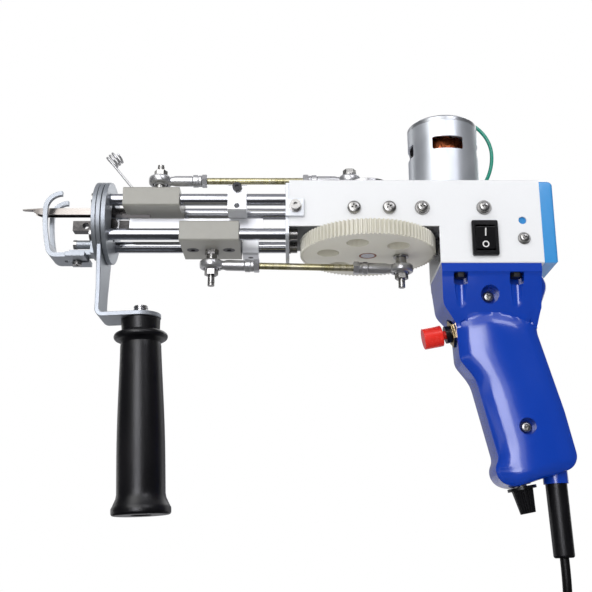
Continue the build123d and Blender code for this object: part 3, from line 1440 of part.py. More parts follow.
def guide_heading(turn):
    """The direction of the wire at guide_place(turn)."""
    angle = -pi / 2 - 2 * pi * turn
    around = (Vector(0, 1, 0) * cos(angle) - guide_way * sin(angle)) * 2 * pi * guide_eye_r
    return (around - guide_axis * guide_eye_pitch).normalized()


guide_nodes = [k / coil_quarters for k in range(int(guide_eye_turns * coil_quarters), -1, -1)]
guide_foot_way = guide_heading(0)
guide_fall = guide_place(0).Z - needle_slider_z[1] + guide_foot_depth
guide_foot = guide_place(0) + guide_foot_way * (guide_fall / -guide_foot_way.Z)
with BuildPart() as yarn_guide:
    with BuildLine():
        for near, far in zip(guide_nodes, guide_nodes[1:]):
            biarc(guide_place(near), guide_heading(near), guide_place(far), guide_heading(far))
        Line(guide_place(0), guide_foot)
    with BuildSketch(Plane(origin=guide_place(guide_eye_turns), z_dir=guide_heading(guide_eye_turns))):
        Circle(guide_wire_r)
    sweep()

with BuildPart() as needle_slider:
    slab((needle_front_x, needle_front_x + slider_length), (-slider_half, slider_half), needle_slider_z)
    chamfer(needle_slider.edges().filter_by(Axis.X), slider_edge)
    for side in (-1, 1):
        rod(along_x(needle_front_x - overrun, side * rod_pitch_y / 2, upper_rod_z), rod_r + slide_gap,
            slider_length + 2 * overrun, Mode.SUBTRACT)
    slab((needle_front_x - overrun, gear_x - needle_shank_end + part_gap),
         (-needle_half - needle_gap, needle_half + needle_gap),
         (needle_slider_z[0] - overrun, needle_top_z + needle_gap), Mode.SUBTRACT)
    rod(along_z(gear_x - needle_pin_x, 0, needle_slider_z[1] + overrun, -1), m4_r + thread_gap,
        pin_depth + overrun, Mode.SUBTRACT)
    rod(along_z(gear_x - set_screw_x, 0, needle_slider_z[1] + overrun, -1), set_screw_r + thread_gap,
        needle_slider_z[1] - needle_top_z + overrun, Mode.SUBTRACT)
    rod(Plane(origin=guide_foot, z_dir=guide_foot_way * -1), guide_wire_r + thread_gap,
        2 * guide_foot_depth + overrun, Mode.SUBTRACT)

with BuildPart() as needle:
    slab((gear_x - needle_tip, gear_x - needle_shank_end), (-needle_half, needle_half),
         (needle_top_z - needle_height, needle_top_z))
    slab((gear_x - needle_tip - overrun, gear_x - needle_channel_end),
         (-needle_half + needle_wall, needle_half - needle_wall),
         (needle_top_z - needle_height - overrun, needle_top_z - needle_wall), Mode.SUBTRACT)
    with BuildSketch(Plane.XZ):
        with BuildLine():
            tip_x = gear_x - needle_tip
            low_z = needle_top_z - needle_height
            Polyline((tip_x, needle_top_z - needle_tip_height), (tip_x + needle_point_length, low_z),
                     (tip_x + needle_point_length, low_z - overrun), (tip_x - overrun, low_z - overrun),
                     (tip_x - overrun, needle_top_z - needle_tip_height), close=True)
        make_face()
    extrude(amount=housing_width, both=True, mode=Mode.SUBTRACT)
    with BuildSketch(along_z(tip_x, 0, needle_top_z - needle_height)):
        with BuildLine():
            Polyline((-overrun, needle_tip_half), (0, needle_tip_half), (needle_point_length, needle_half),
                     (needle_point_length, needle_half + overrun), (-overrun, needle_half + overrun), close=True)
        make_face()
        mirror(about=Plane.XZ)
    extrude(amount=needle_height + overrun, mode=Mode.SUBTRACT)
    with BuildSketch(along_z(gear_x - needle_eye_x, 0, needle_top_z + overrun, -1)):
        SlotOverall(4 * needle_eye_half, 2 * needle_eye_half)
    extrude(amount=needle_wall + 2 * overrun, mode=Mode.SUBTRACT)

link_z = deck_z + needle_link_height
with BuildPart() as needle_slider_bolts:
    pin_x = gear_x - needle_pin_x
    nut_z = link_z + ball_half + nut_seat_gap
    rod(along_z(pin_x, 0, needle_slider_z[1] - pin_depth), m4_r,
        nut_z + m4_nut_height + needle_pin_tip - needle_slider_z[1] + pin_depth)
    rod(along_z(pin_x, 0, needle_slider_z[1]), pin_spacer_r, link_z - ball_half - press_gap - needle_slider_z[1])
    hex_nut(along_z(pin_x, 0, nut_z), m4_nut_flats, m4_r, m4_nut_height)
    rod(along_z(gear_x - set_screw_x, 0, needle_top_z + thread_gap), set_screw_r,
        needle_slider_z[1] - needle_top_z - set_screw_r)


def rod_end(centre, way):
    """A ball-jointed rod end whose barrel points along way, with its lock nut."""
    barrel = Plane(origin=centre, x_dir=Vector(0, 1, 0), z_dir=way)
    with Locations(centre):
        Sphere(ball_r)
    for side in (-1, 1):
        rod(along_z(centre.X, centre.Y, centre.Z + side * ball_half, side), ball_r, ball_r, Mode.SUBTRACT)
    rod(along_z(centre.X, centre.Y, centre.Z - ball_r), m4_r + thread_gap, 2 * ball_r, Mode.SUBTRACT)
    tube(along_z(centre.X, centre.Y, centre.Z - eye_half), eye_r, eye_seat_r, 2 * eye_half)
    rod(barrel.offset((eye_r + eye_seat_r) / 2), barrel_r, barrel_end - (eye_r + eye_seat_r) / 2)
    hex_bar(barrel.offset(barrel_end - collar_length), collar_flats, collar_length)
    hex_bar(barrel.offset(barrel_end + lock_nut_gap), m4_nut_flats, m4_nut_height)
    rod(barrel.offset(barrel_end - barrel_bore_depth), link_r + thread_gap,
        barrel_bore_depth + lock_nut_gap + m4_nut_height + overrun, Mode.SUBTRACT)


def link_rod(front, rear):
    """The plain rod between two rod ends."""
    way = (rear - front).normalized()
    start = barrel_end - barrel_bore_depth + part_gap
    rod(Plane(origin=front + way * start, z_dir=way), link_r, (rear - front).length - 2 * start)


needle_eye = Vector(gear_x - needle_pin_x, 0, link_z)
crank_eye = Vector(gear_x - needle_crank_r, 0, link_z)
with BuildPart() as upper_rod:
    link_rod(needle_eye, crank_eye)

with BuildPart() as upper_rod_ends:
    rod_end(needle_eye, (crank_eye - needle_eye).normalized())
    rod_end(crank_eye, (needle_eye - crank_eye).normalized())

with BuildPart() as upper_crank_bolt:
    low = crank_top_z + part_gap
    rod(along_z(crank_eye.X, 0, low), crank_washer_r, link_z - ball_half - low)
    rod(along_z(crank_eye.X, 0, low), m4_r, link_z + ball_half + crank_washer + crank_head_height - low)
    rod(along_z(crank_eye.X, 0, link_z + ball_half), crank_washer_r, crank_washer)
    hex_bar(along_z(crank_eye.X, 0, link_z + ball_half + crank_washer), m4_nut_flats, crank_head_height)

# Scissors carriage
scissors_front_x = gear_x - scissors_slider_front
scissors_z = (deck_z - scissors_slider_bottom_drop, deck_z - scissors_slider_top_drop)
bar_z = (scissors_z[1], deck_z - bar_top_drop)
with BuildPart() as scissors_slider:
    slab((scissors_front_x, scissors_front_x + scissors_slider_length), (-slider_half, slider_half), scissors_z)
    chamfer(scissors_slider.edges().filter_by(Axis.X), slider_edge)
    for side in (-1, 1):
        rod(along_x(scissors_front_x - overrun, side * rod_pitch_y / 2, lower_rod_z), rod_r + slide_gap,
            scissors_slider_length + 2 * overrun, Mode.SUBTRACT)
    for x in (bar_front_screw_x, bar_rear_screw_x):
        rod(along_z(gear_x - x, 0, scissors_z[0] - overrun), m4_socket_head_r + thread_gap,
            m4_socket_head_height + overrun, Mode.SUBTRACT)
        rod(along_z(gear_x - x, 0, scissors_z[0]), m4_r + thread_gap, scissors_z[1] - scissors_z[0] + overrun,
            Mode.SUBTRACT)
    rod(along_z(gear_x - scissors_pin_x, 0, scissors_z[0] - overrun), m4_r + thread_gap, pin_depth + overrun,
        Mode.SUBTRACT)

pivot_x = gear_x - blade_pivot_x
pivot_z = deck_z - blade_pivot_drop
with BuildPart() as scissors_bar:
    slab((gear_x - bar_front, gear_x - bar_rear), (-bar_half, bar_half), bar_z)
    slab((gear_x - bar_front - overrun, gear_x - blade_shank_end),
         (blade_gap / 2 - thread_gap, blade_gap / 2 + blade_thick + thread_gap),
         (pivot_z - blade_root_half - thread_gap, pivot_z + blade_root_half + thread_gap), Mode.SUBTRACT)
    for x in (bar_front_screw_x, bar_rear_screw_x):
        rod(along_z(gear_x - x, 0, bar_z[0] - overrun), m4_r + thread_gap,
            bar_screw_length + overrun + scissors_z[0] + m4_socket_head_height - bar_z[0], Mode.SUBTRACT)

with BuildPart() as scissors_slider_bolts:
    for x in (bar_front_screw_x, bar_rear_screw_x):
        socket_screw(along_z(gear_x - x, 0, scissors_z[0] + m4_socket_head_height, -1), m4_socket_head_r,
                     m4_socket_head_height, m4_r, bar_screw_length - m4_r)
    pin_x = gear_x - scissors_pin_x
    front_eye_z = deck_z - scissors_link_front_drop
    nut_z = front_eye_z - ball_half - nut_seat_gap
    tip_z = nut_z - m4_nut_height - scissors_pin_tip
    rod(along_z(pin_x, 0, tip_z), m4_r, scissors_z[0] + pin_depth - tip_z)
    hex_nut(along_z(pin_x, 0, scissors_z[0], -1), m4_nut_flats, m4_r, m4_nut_height)
    rod(along_z(pin_x, 0, scissors_z[0], -1), pin_spacer_r, scissors_z[0] - front_eye_z - ball_half - press_gap)
    hex_nut(along_z(pin_x, 0, nut_z, -1), m4_nut_flats, m4_r, m4_nut_height)


def blade_corners(rear_x):
    """The corners of a blade's side view, from rear_x forward to its point."""
    tip = pivot_x - blade_reach
    return ((rear_x, pivot_z - blade_root_half), (rear_x, pivot_z + blade_root_half),
            (pivot_x, pivot_z + blade_root_half), (tip, pivot_z + blade_tip_half),
            (tip, pivot_z - blade_tip_half), (pivot_x, pivot_z - blade_root_half))


with BuildPart() as fixed_blade:
    with BuildSketch(Plane.XZ.offset(-blade_gap / 2)):
        with BuildLine():
            Polyline(*blade_corners(gear_x - blade_shank_end - thread_gap), close=True)
        make_face()
    extrude(amount=-blade_thick)
    rod(along_y(pivot_x, blade_gap / 2, pivot_z, -1), blade_pivot_r, blade_gap + blade_thick + blade_head)
    rod(along_y(pivot_x, -blade_gap / 2 - blade_thick - press_gap, pivot_z, -1), blade_eye_r, blade_head)

with BuildPart() as moving_blade:
    with BuildSketch(Plane.XZ.offset(blade_gap / 2)):
        with BuildLine():
            Polyline(*blade_corners(pivot_x + blade_tail), close=True)
        make_face()
        with Locations((pivot_x, pivot_z)):
            Circle(blade_pivot_r + thread_gap, mode=Mode.SUBTRACT)
    extrude(amount=blade_thick)

slider_eye = Vector(gear_x - scissors_pin_x, 0, front_eye_z)
gear_eye = Vector(gear_x + scissors_crank_r, 0, deck_z - scissors_link_rear_drop)
with BuildPart() as lower_rod:
    link_rod(slider_eye, gear_eye)

with BuildPart() as lower_rod_ends:
    rod_end(slider_eye, (gear_eye - slider_eye).normalized())
    rod_end(gear_eye, (slider_eye - gear_eye).normalized())

with BuildPart() as lower_crank_bolt:
    high = gear_bottom_z - part_gap
    rod(along_z(gear_eye.X, 0, high, -1), m4_r, high - gear_eye.Z + scissors_crank_tip)
    rod(along_z(gear_eye.X, 0, high, -1), crank_washer_r, crank_washer)
    rod(along_z(gear_eye.X, 0, high, -1), pin_spacer_r, high - gear_eye.Z - ball_half)
    hex_nut(along_z(gear_eye.X, 0, gear_eye.Z - ball_half, -1), m4_nut_flats, m4_r, m4_nut_height)

# Every piece is labelled and written under its own name
os.makedirs("parts", exist_ok=True)
pieces = {
    "housing": housing,
    "rear_cover": rear_cover,
    "housing_screws": housing_screws,
    "front_plate": front_plate,
    "guide_rods": guide_rods,
    "nose_screws": nose_screws,
    "rear_disc": rear_disc,
    "front_disc": front_disc,
    "handle_bracket": handle_bracket,
    "front_handle": front_handle,
    "handle_stud": handle_stud,
    "presser_foot": presser_foot,
    "foot_post": foot_post,
    "cutter_guide": cutter_guide,
    "stop_blocks": stop_blocks,
    "stop_screws": stop_screws,
    "bearing_block": bearing_block,
    "shaft_bearings": shaft_bearings,
    "drive_gear": drive_gear,
    "gear_bush": gear_bush,
    "gear_shaft": gear_shaft,
    "top_crank": top_crank,
    "motor_mount": motor_mount,
    "motor_can": motor_can,
    "motor_cap": motor_cap,
    "armature": armature,
    "windings": windings,
    "pinion": pinion,
    "earth_wire": earth_wire,
    "grip_left": grip_left,
    "grip_right": grip_right,
    "grip_screws": grip_screws,
    "switch_body": switch_body,
    "rocker": rocker,
    "button_bush": button_bush,
    "button_nut": button_nut,
    "button_cap": button_cap,
    "speed_pot": speed_pot,
    "speed_knob": speed_knob,
    "speed_board": speed_board,
    "cord_sleeve": cord_sleeve,
    "cord": cord,
    "cord_coil": cord_coil,
    "plug": plug,
    "coil_tie": coil_tie,
    "needle_slider": needle_slider,
    "needle": needle,
    "needle_slider_bolts": needle_slider_bolts,
    "yarn_guide": yarn_guide,
    "upper_rod": upper_rod,
    "upper_rod_ends": upper_rod_ends,
    "upper_crank_bolt": upper_crank_bolt,
    "scissors_slider": scissors_slider,
    "scissors_bar": scissors_bar,
    "scissors_slider_bolts": scissors_slider_bolts,
    "fixed_blade": fixed_blade,
    "moving_blade": moving_blade,
    "lower_rod": lower_rod,
    "lower_rod_ends": lower_rod_ends,
    "lower_crank_bolt": lower_crank_bolt,
}
for label, piece in pieces.items():
    piece.part.label = label
    export_step(piece.part, f"parts/{label}.step")
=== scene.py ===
"""Dresses a handheld tufting machine: its metal, paint, moulded plastic, threads, screws and mains lead."""

from __future__ import annotations

import json
import logging
from collections.abc import Callable, Iterable
from dataclasses import dataclass
from enum import Enum
from math import acos, cos, exp, pi, radians, sin, sqrt

import bmesh
import bpy
from mathutils import Matrix, Vector

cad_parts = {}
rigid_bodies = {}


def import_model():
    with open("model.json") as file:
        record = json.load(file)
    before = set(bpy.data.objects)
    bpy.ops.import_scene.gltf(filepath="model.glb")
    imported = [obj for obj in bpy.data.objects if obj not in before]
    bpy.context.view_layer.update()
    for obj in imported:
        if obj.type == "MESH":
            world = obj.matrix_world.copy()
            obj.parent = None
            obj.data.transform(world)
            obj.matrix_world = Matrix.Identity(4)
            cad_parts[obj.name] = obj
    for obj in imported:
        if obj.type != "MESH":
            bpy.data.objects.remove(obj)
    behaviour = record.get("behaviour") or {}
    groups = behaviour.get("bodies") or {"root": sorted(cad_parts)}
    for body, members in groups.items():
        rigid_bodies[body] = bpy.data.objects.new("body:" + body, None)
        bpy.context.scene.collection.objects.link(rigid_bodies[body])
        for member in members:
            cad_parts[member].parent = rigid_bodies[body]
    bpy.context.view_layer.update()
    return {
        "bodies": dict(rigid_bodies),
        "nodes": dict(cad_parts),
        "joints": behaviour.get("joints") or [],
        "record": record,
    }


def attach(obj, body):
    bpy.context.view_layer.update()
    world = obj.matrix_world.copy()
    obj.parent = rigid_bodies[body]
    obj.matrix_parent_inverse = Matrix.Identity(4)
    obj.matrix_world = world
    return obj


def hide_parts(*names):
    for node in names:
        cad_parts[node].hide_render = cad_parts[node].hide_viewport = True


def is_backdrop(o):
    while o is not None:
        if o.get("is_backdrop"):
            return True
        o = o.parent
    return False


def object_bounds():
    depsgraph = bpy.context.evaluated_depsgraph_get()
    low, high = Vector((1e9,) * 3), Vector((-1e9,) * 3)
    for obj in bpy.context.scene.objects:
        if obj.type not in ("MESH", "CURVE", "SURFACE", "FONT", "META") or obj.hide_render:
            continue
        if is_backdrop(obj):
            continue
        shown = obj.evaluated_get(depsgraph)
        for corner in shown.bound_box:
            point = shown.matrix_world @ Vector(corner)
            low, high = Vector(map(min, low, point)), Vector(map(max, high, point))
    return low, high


log = logging.getLogger("tufting_machine")

Pair = tuple[float, float]
Triple = tuple[float, float, float]
PieceRow = tuple[str, str, float]
GEAR_X = -0.082
DECK_Z = 0.114
MERGE_DISTANCE = 2e-6
FLAT_ANGLE = radians(0.5)
SMOOTH_ANGLE = radians(32)
EASE_ANGLE = radians(40)
EASE_SEGMENTS = 2
COAT_ROUGHNESS = 0.08
GRAIN_DETAIL, GRAIN_ROUGHNESS, GRAIN_MIDDLE, GRAIN_SHARE = 4.0, 0.6, 0.5, 0.5
WEAR_DETAIL, WEAR_DISTORTION, WEAR_FROM, WEAR_FULL = 6.0, 0.4, 0.35, 0.7


def fit_point(x: float, y: float, drop: float) -> Vector:
    """A place given behind the gear's axis and below the deck, in metres.

    Args:
        x: Distance behind the gear's axis.
        y: Distance from the middle plane.
        drop: Distance below the housing's top.

    Returns:
        The point in the machine's frame.
    """
    return Vector((GEAR_X + x, y, DECK_Z - drop))


class Stroke(Enum):
    """The direction in which a metal's grain was drawn."""

    EVEN = (1.0, 1.0, 1.0)
    ALONG = (0.04, 1.0, 1.0)
    UPRIGHT = (1.0, 1.0, 0.03)


def placed(name: str, data: bpy.types.ID) -> bpy.types.Object:
    """Puts new data in the scene as an object.

    Args:
        name: The object's name.
        data: Its mesh, curve, lamp or camera.

    Returns:
        The object.
    """
    made = bpy.data.objects.new(name, data)
    bpy.context.scene.collection.objects.link(made)
    return made


class TreeBuilder:
    """Adds nodes to a tree, each with its settings, values and links."""

    def __init__(self, tree: bpy.types.NodeTree) -> None:
        """Keeps the tree.

        Args:
            tree: The tree.
        """
        self.tree = tree

    def node(self, kind: str, settings: dict[str, object] | None = None, **links: object) -> bpy.types.Node:
        """A node with its settings and inputs.

        Args:
            kind: The node's type.
            settings: Its own properties.
            links: A value, or an output socket, for each input. Spaces are written as underscores, and n0,
                n1 and so on are inputs by their place.

        Returns:
            The node.
        """
        made = self.tree.nodes.new(kind)
        for label, value in (settings or {}).items():
            setattr(made, label, value)
        for label, value in links.items():
            self.feed(made, label.replace("_", " "), value)
        return made

    def feed(self, node: bpy.types.Node, label: str, value: object) -> None:
        """Sets or links one input of a node.

        Args:
            node: The node.
            label: The input's name, or n and its place.
            value: A value or an output socket.
        """
        target = node.inputs[int(label[1:]) if label[1:].isdigit() else label]
        if isinstance(value, bpy.types.NodeSocket):
            self.tree.links.new(value, target)
        else:
            target.default_value = value

    def math(self, operation: str, first: object, second: object) -> bpy.types.NodeSocket:
        """The result of a sum of two values.

        Args:
            operation: The sum.
            first: The first value or socket.
            second: The second value or socket.

        Returns:
            The output socket.
        """
        return self.node("ShaderNodeMath", {"operation": operation}, n0=first, n1=second).outputs[0]


class GroupMaker(TreeBuilder):
    """A node group under construction, with its named inputs and outputs."""

    def __init__(self, name: str, kind: str, inputs: dict[str, tuple[str, object]],
                 outputs: dict[str, str]) -> None:
        """Starts a group.

        Args:
            name: The group's name.
            kind: The tree's type.
            inputs: Socket type and default for each input's name.
            outputs: Socket type for each output's name.
        """
        super().__init__(bpy.data.node_groups.new(name, kind))
        self.sockets: dict[str, str] = {}
        for label, (socket_kind, default) in inputs.items():
            socket = self.tree.interface.new_socket(label, in_out="INPUT", socket_type=socket_kind)
            if default is not None:
                socket.default_value = default
            self.sockets[label] = socket.identifier
        for label, socket_kind in outputs.items():
            self.tree.interface.new_socket(label, in_out="OUTPUT", socket_type=socket_kind)
        self.given = self.node("NodeGroupInput").outputs
        self.out = self.node("NodeGroupOutput")


class EffectGroups:
    """Shader node groups that several finishes share."""

    def __init__(self) -> None:
        """Builds each group once."""
        self.grain = self._grain_group()
        self.wear = self._wear_group()

    @staticmethod
    def _grain_group() -> bpy.types.NodeTree:
        """Fine noise that is stretched along a stroke: a mask and a height."""
        maker = GroupMaker("surface_grain", "ShaderNodeTree", {
            "Vector": ("NodeSocketVector", None), "Stretch": ("NodeSocketVector", (1.0, 1.0, 1.0)),
            "Scale": ("NodeSocketFloat", 900.0), "Contrast": ("NodeSocketFloat", 1.0)},
            {"Mask": "NodeSocketFloat", "Height": "NodeSocketFloat"})
        given = maker.given
        stretched = maker.node("ShaderNodeVectorMath", {"operation": "MULTIPLY"}, n0=given["Vector"],
                               n1=given["Stretch"])
        noise = maker.node("ShaderNodeTexNoise", Vector=stretched.outputs["Vector"], Scale=given["Scale"],
                           Detail=GRAIN_DETAIL, Roughness=GRAIN_ROUGHNESS).outputs["Fac"]
        offset = maker.math("SUBTRACT", noise, GRAIN_MIDDLE)
        mask = maker.node("ShaderNodeMath", {"operation": "MULTIPLY_ADD", "use_clamp": True}, n0=offset,
                          n1=given["Contrast"], n2=GRAIN_MIDDLE)
        maker.feed(maker.out, "Mask", mask.outputs[0])
        maker.feed(maker.out, "Height", noise)
        return maker.tree

    @staticmethod
    def _wear_group() -> bpy.types.NodeTree:
        """Soft patches left by hands, oil and dust, as a mask."""
        maker = GroupMaker("handling_wear", "ShaderNodeTree", {
            "Vector": ("NodeSocketVector", None), "Scale": ("NodeSocketFloat", 60.0),
            "Amount": ("NodeSocketFloat", 0.5)}, {"Mask": "NodeSocketFloat"})
        noise = maker.node("ShaderNodeTexNoise", Vector=maker.given["Vector"], Scale=maker.given["Scale"],
                           Detail=WEAR_DETAIL, Distortion=WEAR_DISTORTION)
        patches = maker.node("ShaderNodeMapRange", Value=noise.outputs["Fac"], From_Min=WEAR_FROM,
                             From_Max=WEAR_FULL)
        mask = maker.math("MULTIPLY", patches.outputs["Result"], maker.given["Amount"])
        maker.feed(maker.out, "Mask", mask)
        return maker.tree


def new_material(name: str) -> tuple[bpy.types.Material, TreeBuilder]:
    """A material with its node tree.

    Args:
        name: The material's name.

    Returns:
        The material and the builder of its tree.
    """
    material = bpy.data.materials.new(name)
    material.use_nodes = True
    return material, TreeBuilder(material.node_tree)


@dataclass(frozen=True)
class Finish:
    """A surface finish: two tones, a range of roughness, its grain and its wear.

    The shade is the tone in the grain's troughs, and the worn tone shows where hands or oil have been.
    """

    slot: str
    colour: Triple
    shade: Triple
    worn: Triple
    metallic: float = 0.0
    smooth: float = 0.3
    rough: float = 0.45
    stroke: Stroke = Stroke.EVEN
    grain_scale: float = 900.0
    grain_contrast: float = 1.0
    bump: float = 0.15
    bump_depth: float = 0.00004
    wear_scale: float = 60.0
    wear_amount: float = 0.4
    coat: float = 0.0
    specular: float = 0.5

    def material(self, effects: EffectGroups) -> bpy.types.Material:
        """The finish as a node material.

        Args:
            effects: The shared shader groups.

        Returns:
            The material.
        """
        material, maker = new_material(self.slot + "_finish")
        place = maker.node("ShaderNodeTexCoord").outputs["Object"]
        grain = maker.node("ShaderNodeGroup", {"node_tree": effects.grain}, Vector=place,
                           Stretch=self.stroke.value, Scale=self.grain_scale,
                           Contrast=self.grain_contrast).outputs
        wear = maker.node("ShaderNodeGroup", {"node_tree": effects.wear}, Vector=place, Scale=self.wear_scale,
                          Amount=self.wear_amount).outputs
        tone = self._mix(maker, grain["Mask"], (*self.shade, 1.0), (*self.colour, 1.0))
        both = maker.node("ShaderNodeMath", {"operation": "MULTIPLY_ADD"}, n0=grain["Mask"], n1=GRAIN_SHARE,
                          n2=wear["Mask"])
        roughness = maker.node("ShaderNodeMapRange", Value=both.outputs[0], To_Min=self.smooth,
                               To_Max=self.rough)
        bump = maker.node("ShaderNodeBump", Strength=self.bump, Distance=self.bump_depth,
                          Height=grain["Height"])
        for label, value in {
                "Metallic": self.metallic, "Coat Weight": self.coat, "Coat Roughness": COAT_ROUGHNESS,
                "Specular IOR Level": self.specular, "Roughness": roughness.outputs["Result"],
                "Base Color": self._mix(maker, wear["Mask"], tone, (*self.worn, 1.0)),
                "Normal": bump.outputs["Normal"]}.items():
            maker.feed(material.node_tree.nodes["Principled BSDF"], label, value)
        return material

    @staticmethod
    def _mix(maker: TreeBuilder, factor: bpy.types.NodeSocket, low: object,
             high: object) -> bpy.types.NodeSocket:
        """A mix of two colours, reached by place because several sockets of the node share a name.

        Args:
            maker: The builder of the material's tree.
            factor: The share of the second colour.
            low: The colour at factor 0, or its socket.
            high: The colour at factor 1, or its socket.

        Returns:
            The mixed colour's socket.
        """
        return maker.node("ShaderNodeMix", {"data_type": "RGBA"}, n0=factor, n6=low, n7=high).outputs[2]


FINISHES = (
    Finish("white_paint", (0.83, 0.84, 0.86), (0.80, 0.81, 0.83), (0.78, 0.79, 0.81), smooth=0.38, rough=0.5,
           grain_scale=1400.0, bump=0.25, bump_depth=0.00003, wear_scale=18.0, wear_amount=0.3),
    Finish("sky_plastic", (0.035, 0.28, 0.66), (0.032, 0.26, 0.62), (0.045, 0.30, 0.68), smooth=0.18,
           rough=0.3, grain_scale=700.0, bump=0.1, wear_scale=30.0, coat=0.3),
    Finish("blue_plastic", (0.0006, 0.045, 0.42), (0.0006, 0.042, 0.40), (0.0008, 0.050, 0.44), smooth=0.18,
           rough=0.26, grain_scale=500.0, bump=0.04, wear_scale=26.0, coat=0.6),
    Finish("steel_screw", (0.44, 0.435, 0.42), (0.34, 0.335, 0.32), (0.38, 0.37, 0.35), metallic=1.0,
           smooth=0.22, rough=0.4, grain_scale=1800.0, wear_scale=300.0),
    Finish("black_screw", (0.022, 0.022, 0.024), (0.014, 0.014, 0.016), (0.05, 0.05, 0.05), metallic=0.6,
           smooth=0.25, rough=0.45, grain_scale=2200.0, wear_scale=300.0),
    Finish("zinc", (0.33, 0.355, 0.385), (0.29, 0.315, 0.345), (0.37, 0.39, 0.42), metallic=0.7, smooth=0.36,
           rough=0.52, grain_scale=1100.0, wear_scale=70.0, wear_amount=0.6),
    Finish("bright_plate", (0.62, 0.64, 0.67), (0.56, 0.58, 0.61), (0.66, 0.68, 0.71), metallic=0.5,
           smooth=0.32, rough=0.5, grain_scale=1100.0, wear_scale=70.0, wear_amount=0.5),
    Finish("chrome", (0.52, 0.53, 0.56), (0.48, 0.49, 0.52), (0.46, 0.46, 0.49), metallic=1.0, smooth=0.1,
           rough=0.2, stroke=Stroke.ALONG, grain_scale=900.0, bump=0.03, wear_scale=90.0),
    Finish("black_rubber", (0.003, 0.003, 0.004), (0.002, 0.002, 0.003), (0.006, 0.005, 0.007), smooth=0.26,
           rough=0.4, grain_scale=1500.0, grain_contrast=1.6, bump=0.45, bump_depth=0.00018, wear_scale=40.0,
           wear_amount=0.5, specular=0.42),
    Finish("black_plastic", (0.005, 0.005, 0.006), (0.004, 0.004, 0.005), (0.008, 0.008, 0.009), smooth=0.16,
           rough=0.3, grain_scale=1700.0, bump=0.15),
    Finish("black_steel", (0.035, 0.033, 0.032), (0.018, 0.017, 0.017), (0.10, 0.095, 0.09), metallic=0.8,
           smooth=0.2, rough=0.4, grain_scale=1500.0, wear_scale=220.0, wear_amount=0.7),
    Finish("slider_plastic", (0.31, 0.305, 0.275), (0.285, 0.28, 0.25), (0.35, 0.34, 0.31), smooth=0.32,
           rough=0.48, grain_scale=420.0, bump=0.12, wear_scale=80.0, wear_amount=0.55),
    Finish("gear_plastic", (0.70, 0.68, 0.59), (0.67, 0.65, 0.56), (0.72, 0.70, 0.63), smooth=0.3,
           rough=0.45, grain_scale=380.0, bump=0.12, wear_scale=50.0, wear_amount=0.6),
    Finish("bronze", (0.40, 0.16, 0.08), (0.26, 0.09, 0.05), (0.16, 0.06, 0.04), metallic=0.8, smooth=0.3,
           rough=0.55, grain_scale=1500.0, wear_scale=400.0, wear_amount=0.8),
    Finish("steel", (0.50, 0.50, 0.51), (0.40, 0.40, 0.41), (0.44, 0.43, 0.42), metallic=1.0, smooth=0.18,
           rough=0.34, stroke=Stroke.UPRIGHT, grain_scale=1500.0, wear_scale=160.0),
    Finish("can_metal", (0.66, 0.695, 0.74), (0.58, 0.615, 0.66), (0.74, 0.77, 0.81), metallic=0.75,
           smooth=0.26, rough=0.44, stroke=Stroke.UPRIGHT, grain_scale=700.0, bump=0.12, wear_scale=45.0,
           wear_amount=0.7),
    Finish("cap_metal", (0.56, 0.58, 0.60), (0.46, 0.48, 0.50), (0.52, 0.53, 0.55), metallic=0.9,
           smooth=0.25, rough=0.4, grain_scale=900.0, wear_scale=90.0),
    Finish("iron", (0.16, 0.15, 0.14), (0.08, 0.08, 0.08), (0.20, 0.14, 0.10), metallic=0.8, smooth=0.35,
           rough=0.6, stroke=Stroke.UPRIGHT, grain_scale=1800.0, wear_scale=200.0),
    Finish("copper", (0.42, 0.12, 0.04), (0.24, 0.06, 0.025), (0.34, 0.10, 0.04), metallic=0.9, smooth=0.2,
           rough=0.38, grain_scale=1800.0, wear_scale=300.0),
    Finish("brass", (0.66, 0.50, 0.26), (0.54, 0.40, 0.19), (0.60, 0.47, 0.28), metallic=1.0, smooth=0.16,
           rough=0.32, grain_scale=1400.0, wear_scale=250.0),
    Finish("green_wire", (0.006, 0.27, 0.185), (0.005, 0.23, 0.16), (0.01, 0.30, 0.21), smooth=0.22,
           rough=0.36, grain_scale=900.0, bump=0.1),
    Finish("red_plastic", (0.85, 0.022, 0.012), (0.80, 0.019, 0.010), (0.88, 0.03, 0.018), smooth=0.2,
           rough=0.34, grain_scale=800.0, bump=0.12, coat=0.2),
    Finish("board", (0.02, 0.16, 0.06), (0.01, 0.10, 0.035), (0.05, 0.20, 0.09), smooth=0.25, rough=0.4,
           grain_scale=600.0, wear_scale=400.0),
    Finish("needle_steel", (0.26, 0.24, 0.225), (0.19, 0.175, 0.165), (0.34, 0.32, 0.30), metallic=1.0,
           smooth=0.16, rough=0.32, stroke=Stroke.ALONG, grain_scale=1600.0, bump=0.08, wear_scale=120.0),
    Finish("aluminium", (0.72, 0.73, 0.75), (0.66, 0.67, 0.69), (0.68, 0.68, 0.70), metallic=0.55,
           smooth=0.3, rough=0.45, grain_scale=1600.0, bump=0.2, wear_scale=90.0),
    Finish("yellow_zinc", (0.58, 0.53, 0.31), (0.48, 0.44, 0.23), (0.62, 0.59, 0.47), metallic=0.85,
           smooth=0.22, rough=0.38, stroke=Stroke.ALONG, grain_scale=700.0, wear_scale=110.0,
           wear_amount=0.8),
    Finish("nickel", (0.60, 0.60, 0.61), (0.53, 0.53, 0.54), (0.55, 0.55, 0.55), metallic=0.8, smooth=0.24,
           rough=0.4, grain_scale=1300.0, bump=0.06, wear_scale=200.0),
    Finish("cord_black", (0.003, 0.003, 0.003), (0.002, 0.002, 0.002), (0.005, 0.005, 0.006), smooth=0.3,
           rough=0.44, grain_scale=900.0, bump=0.2, specular=0.35),
)
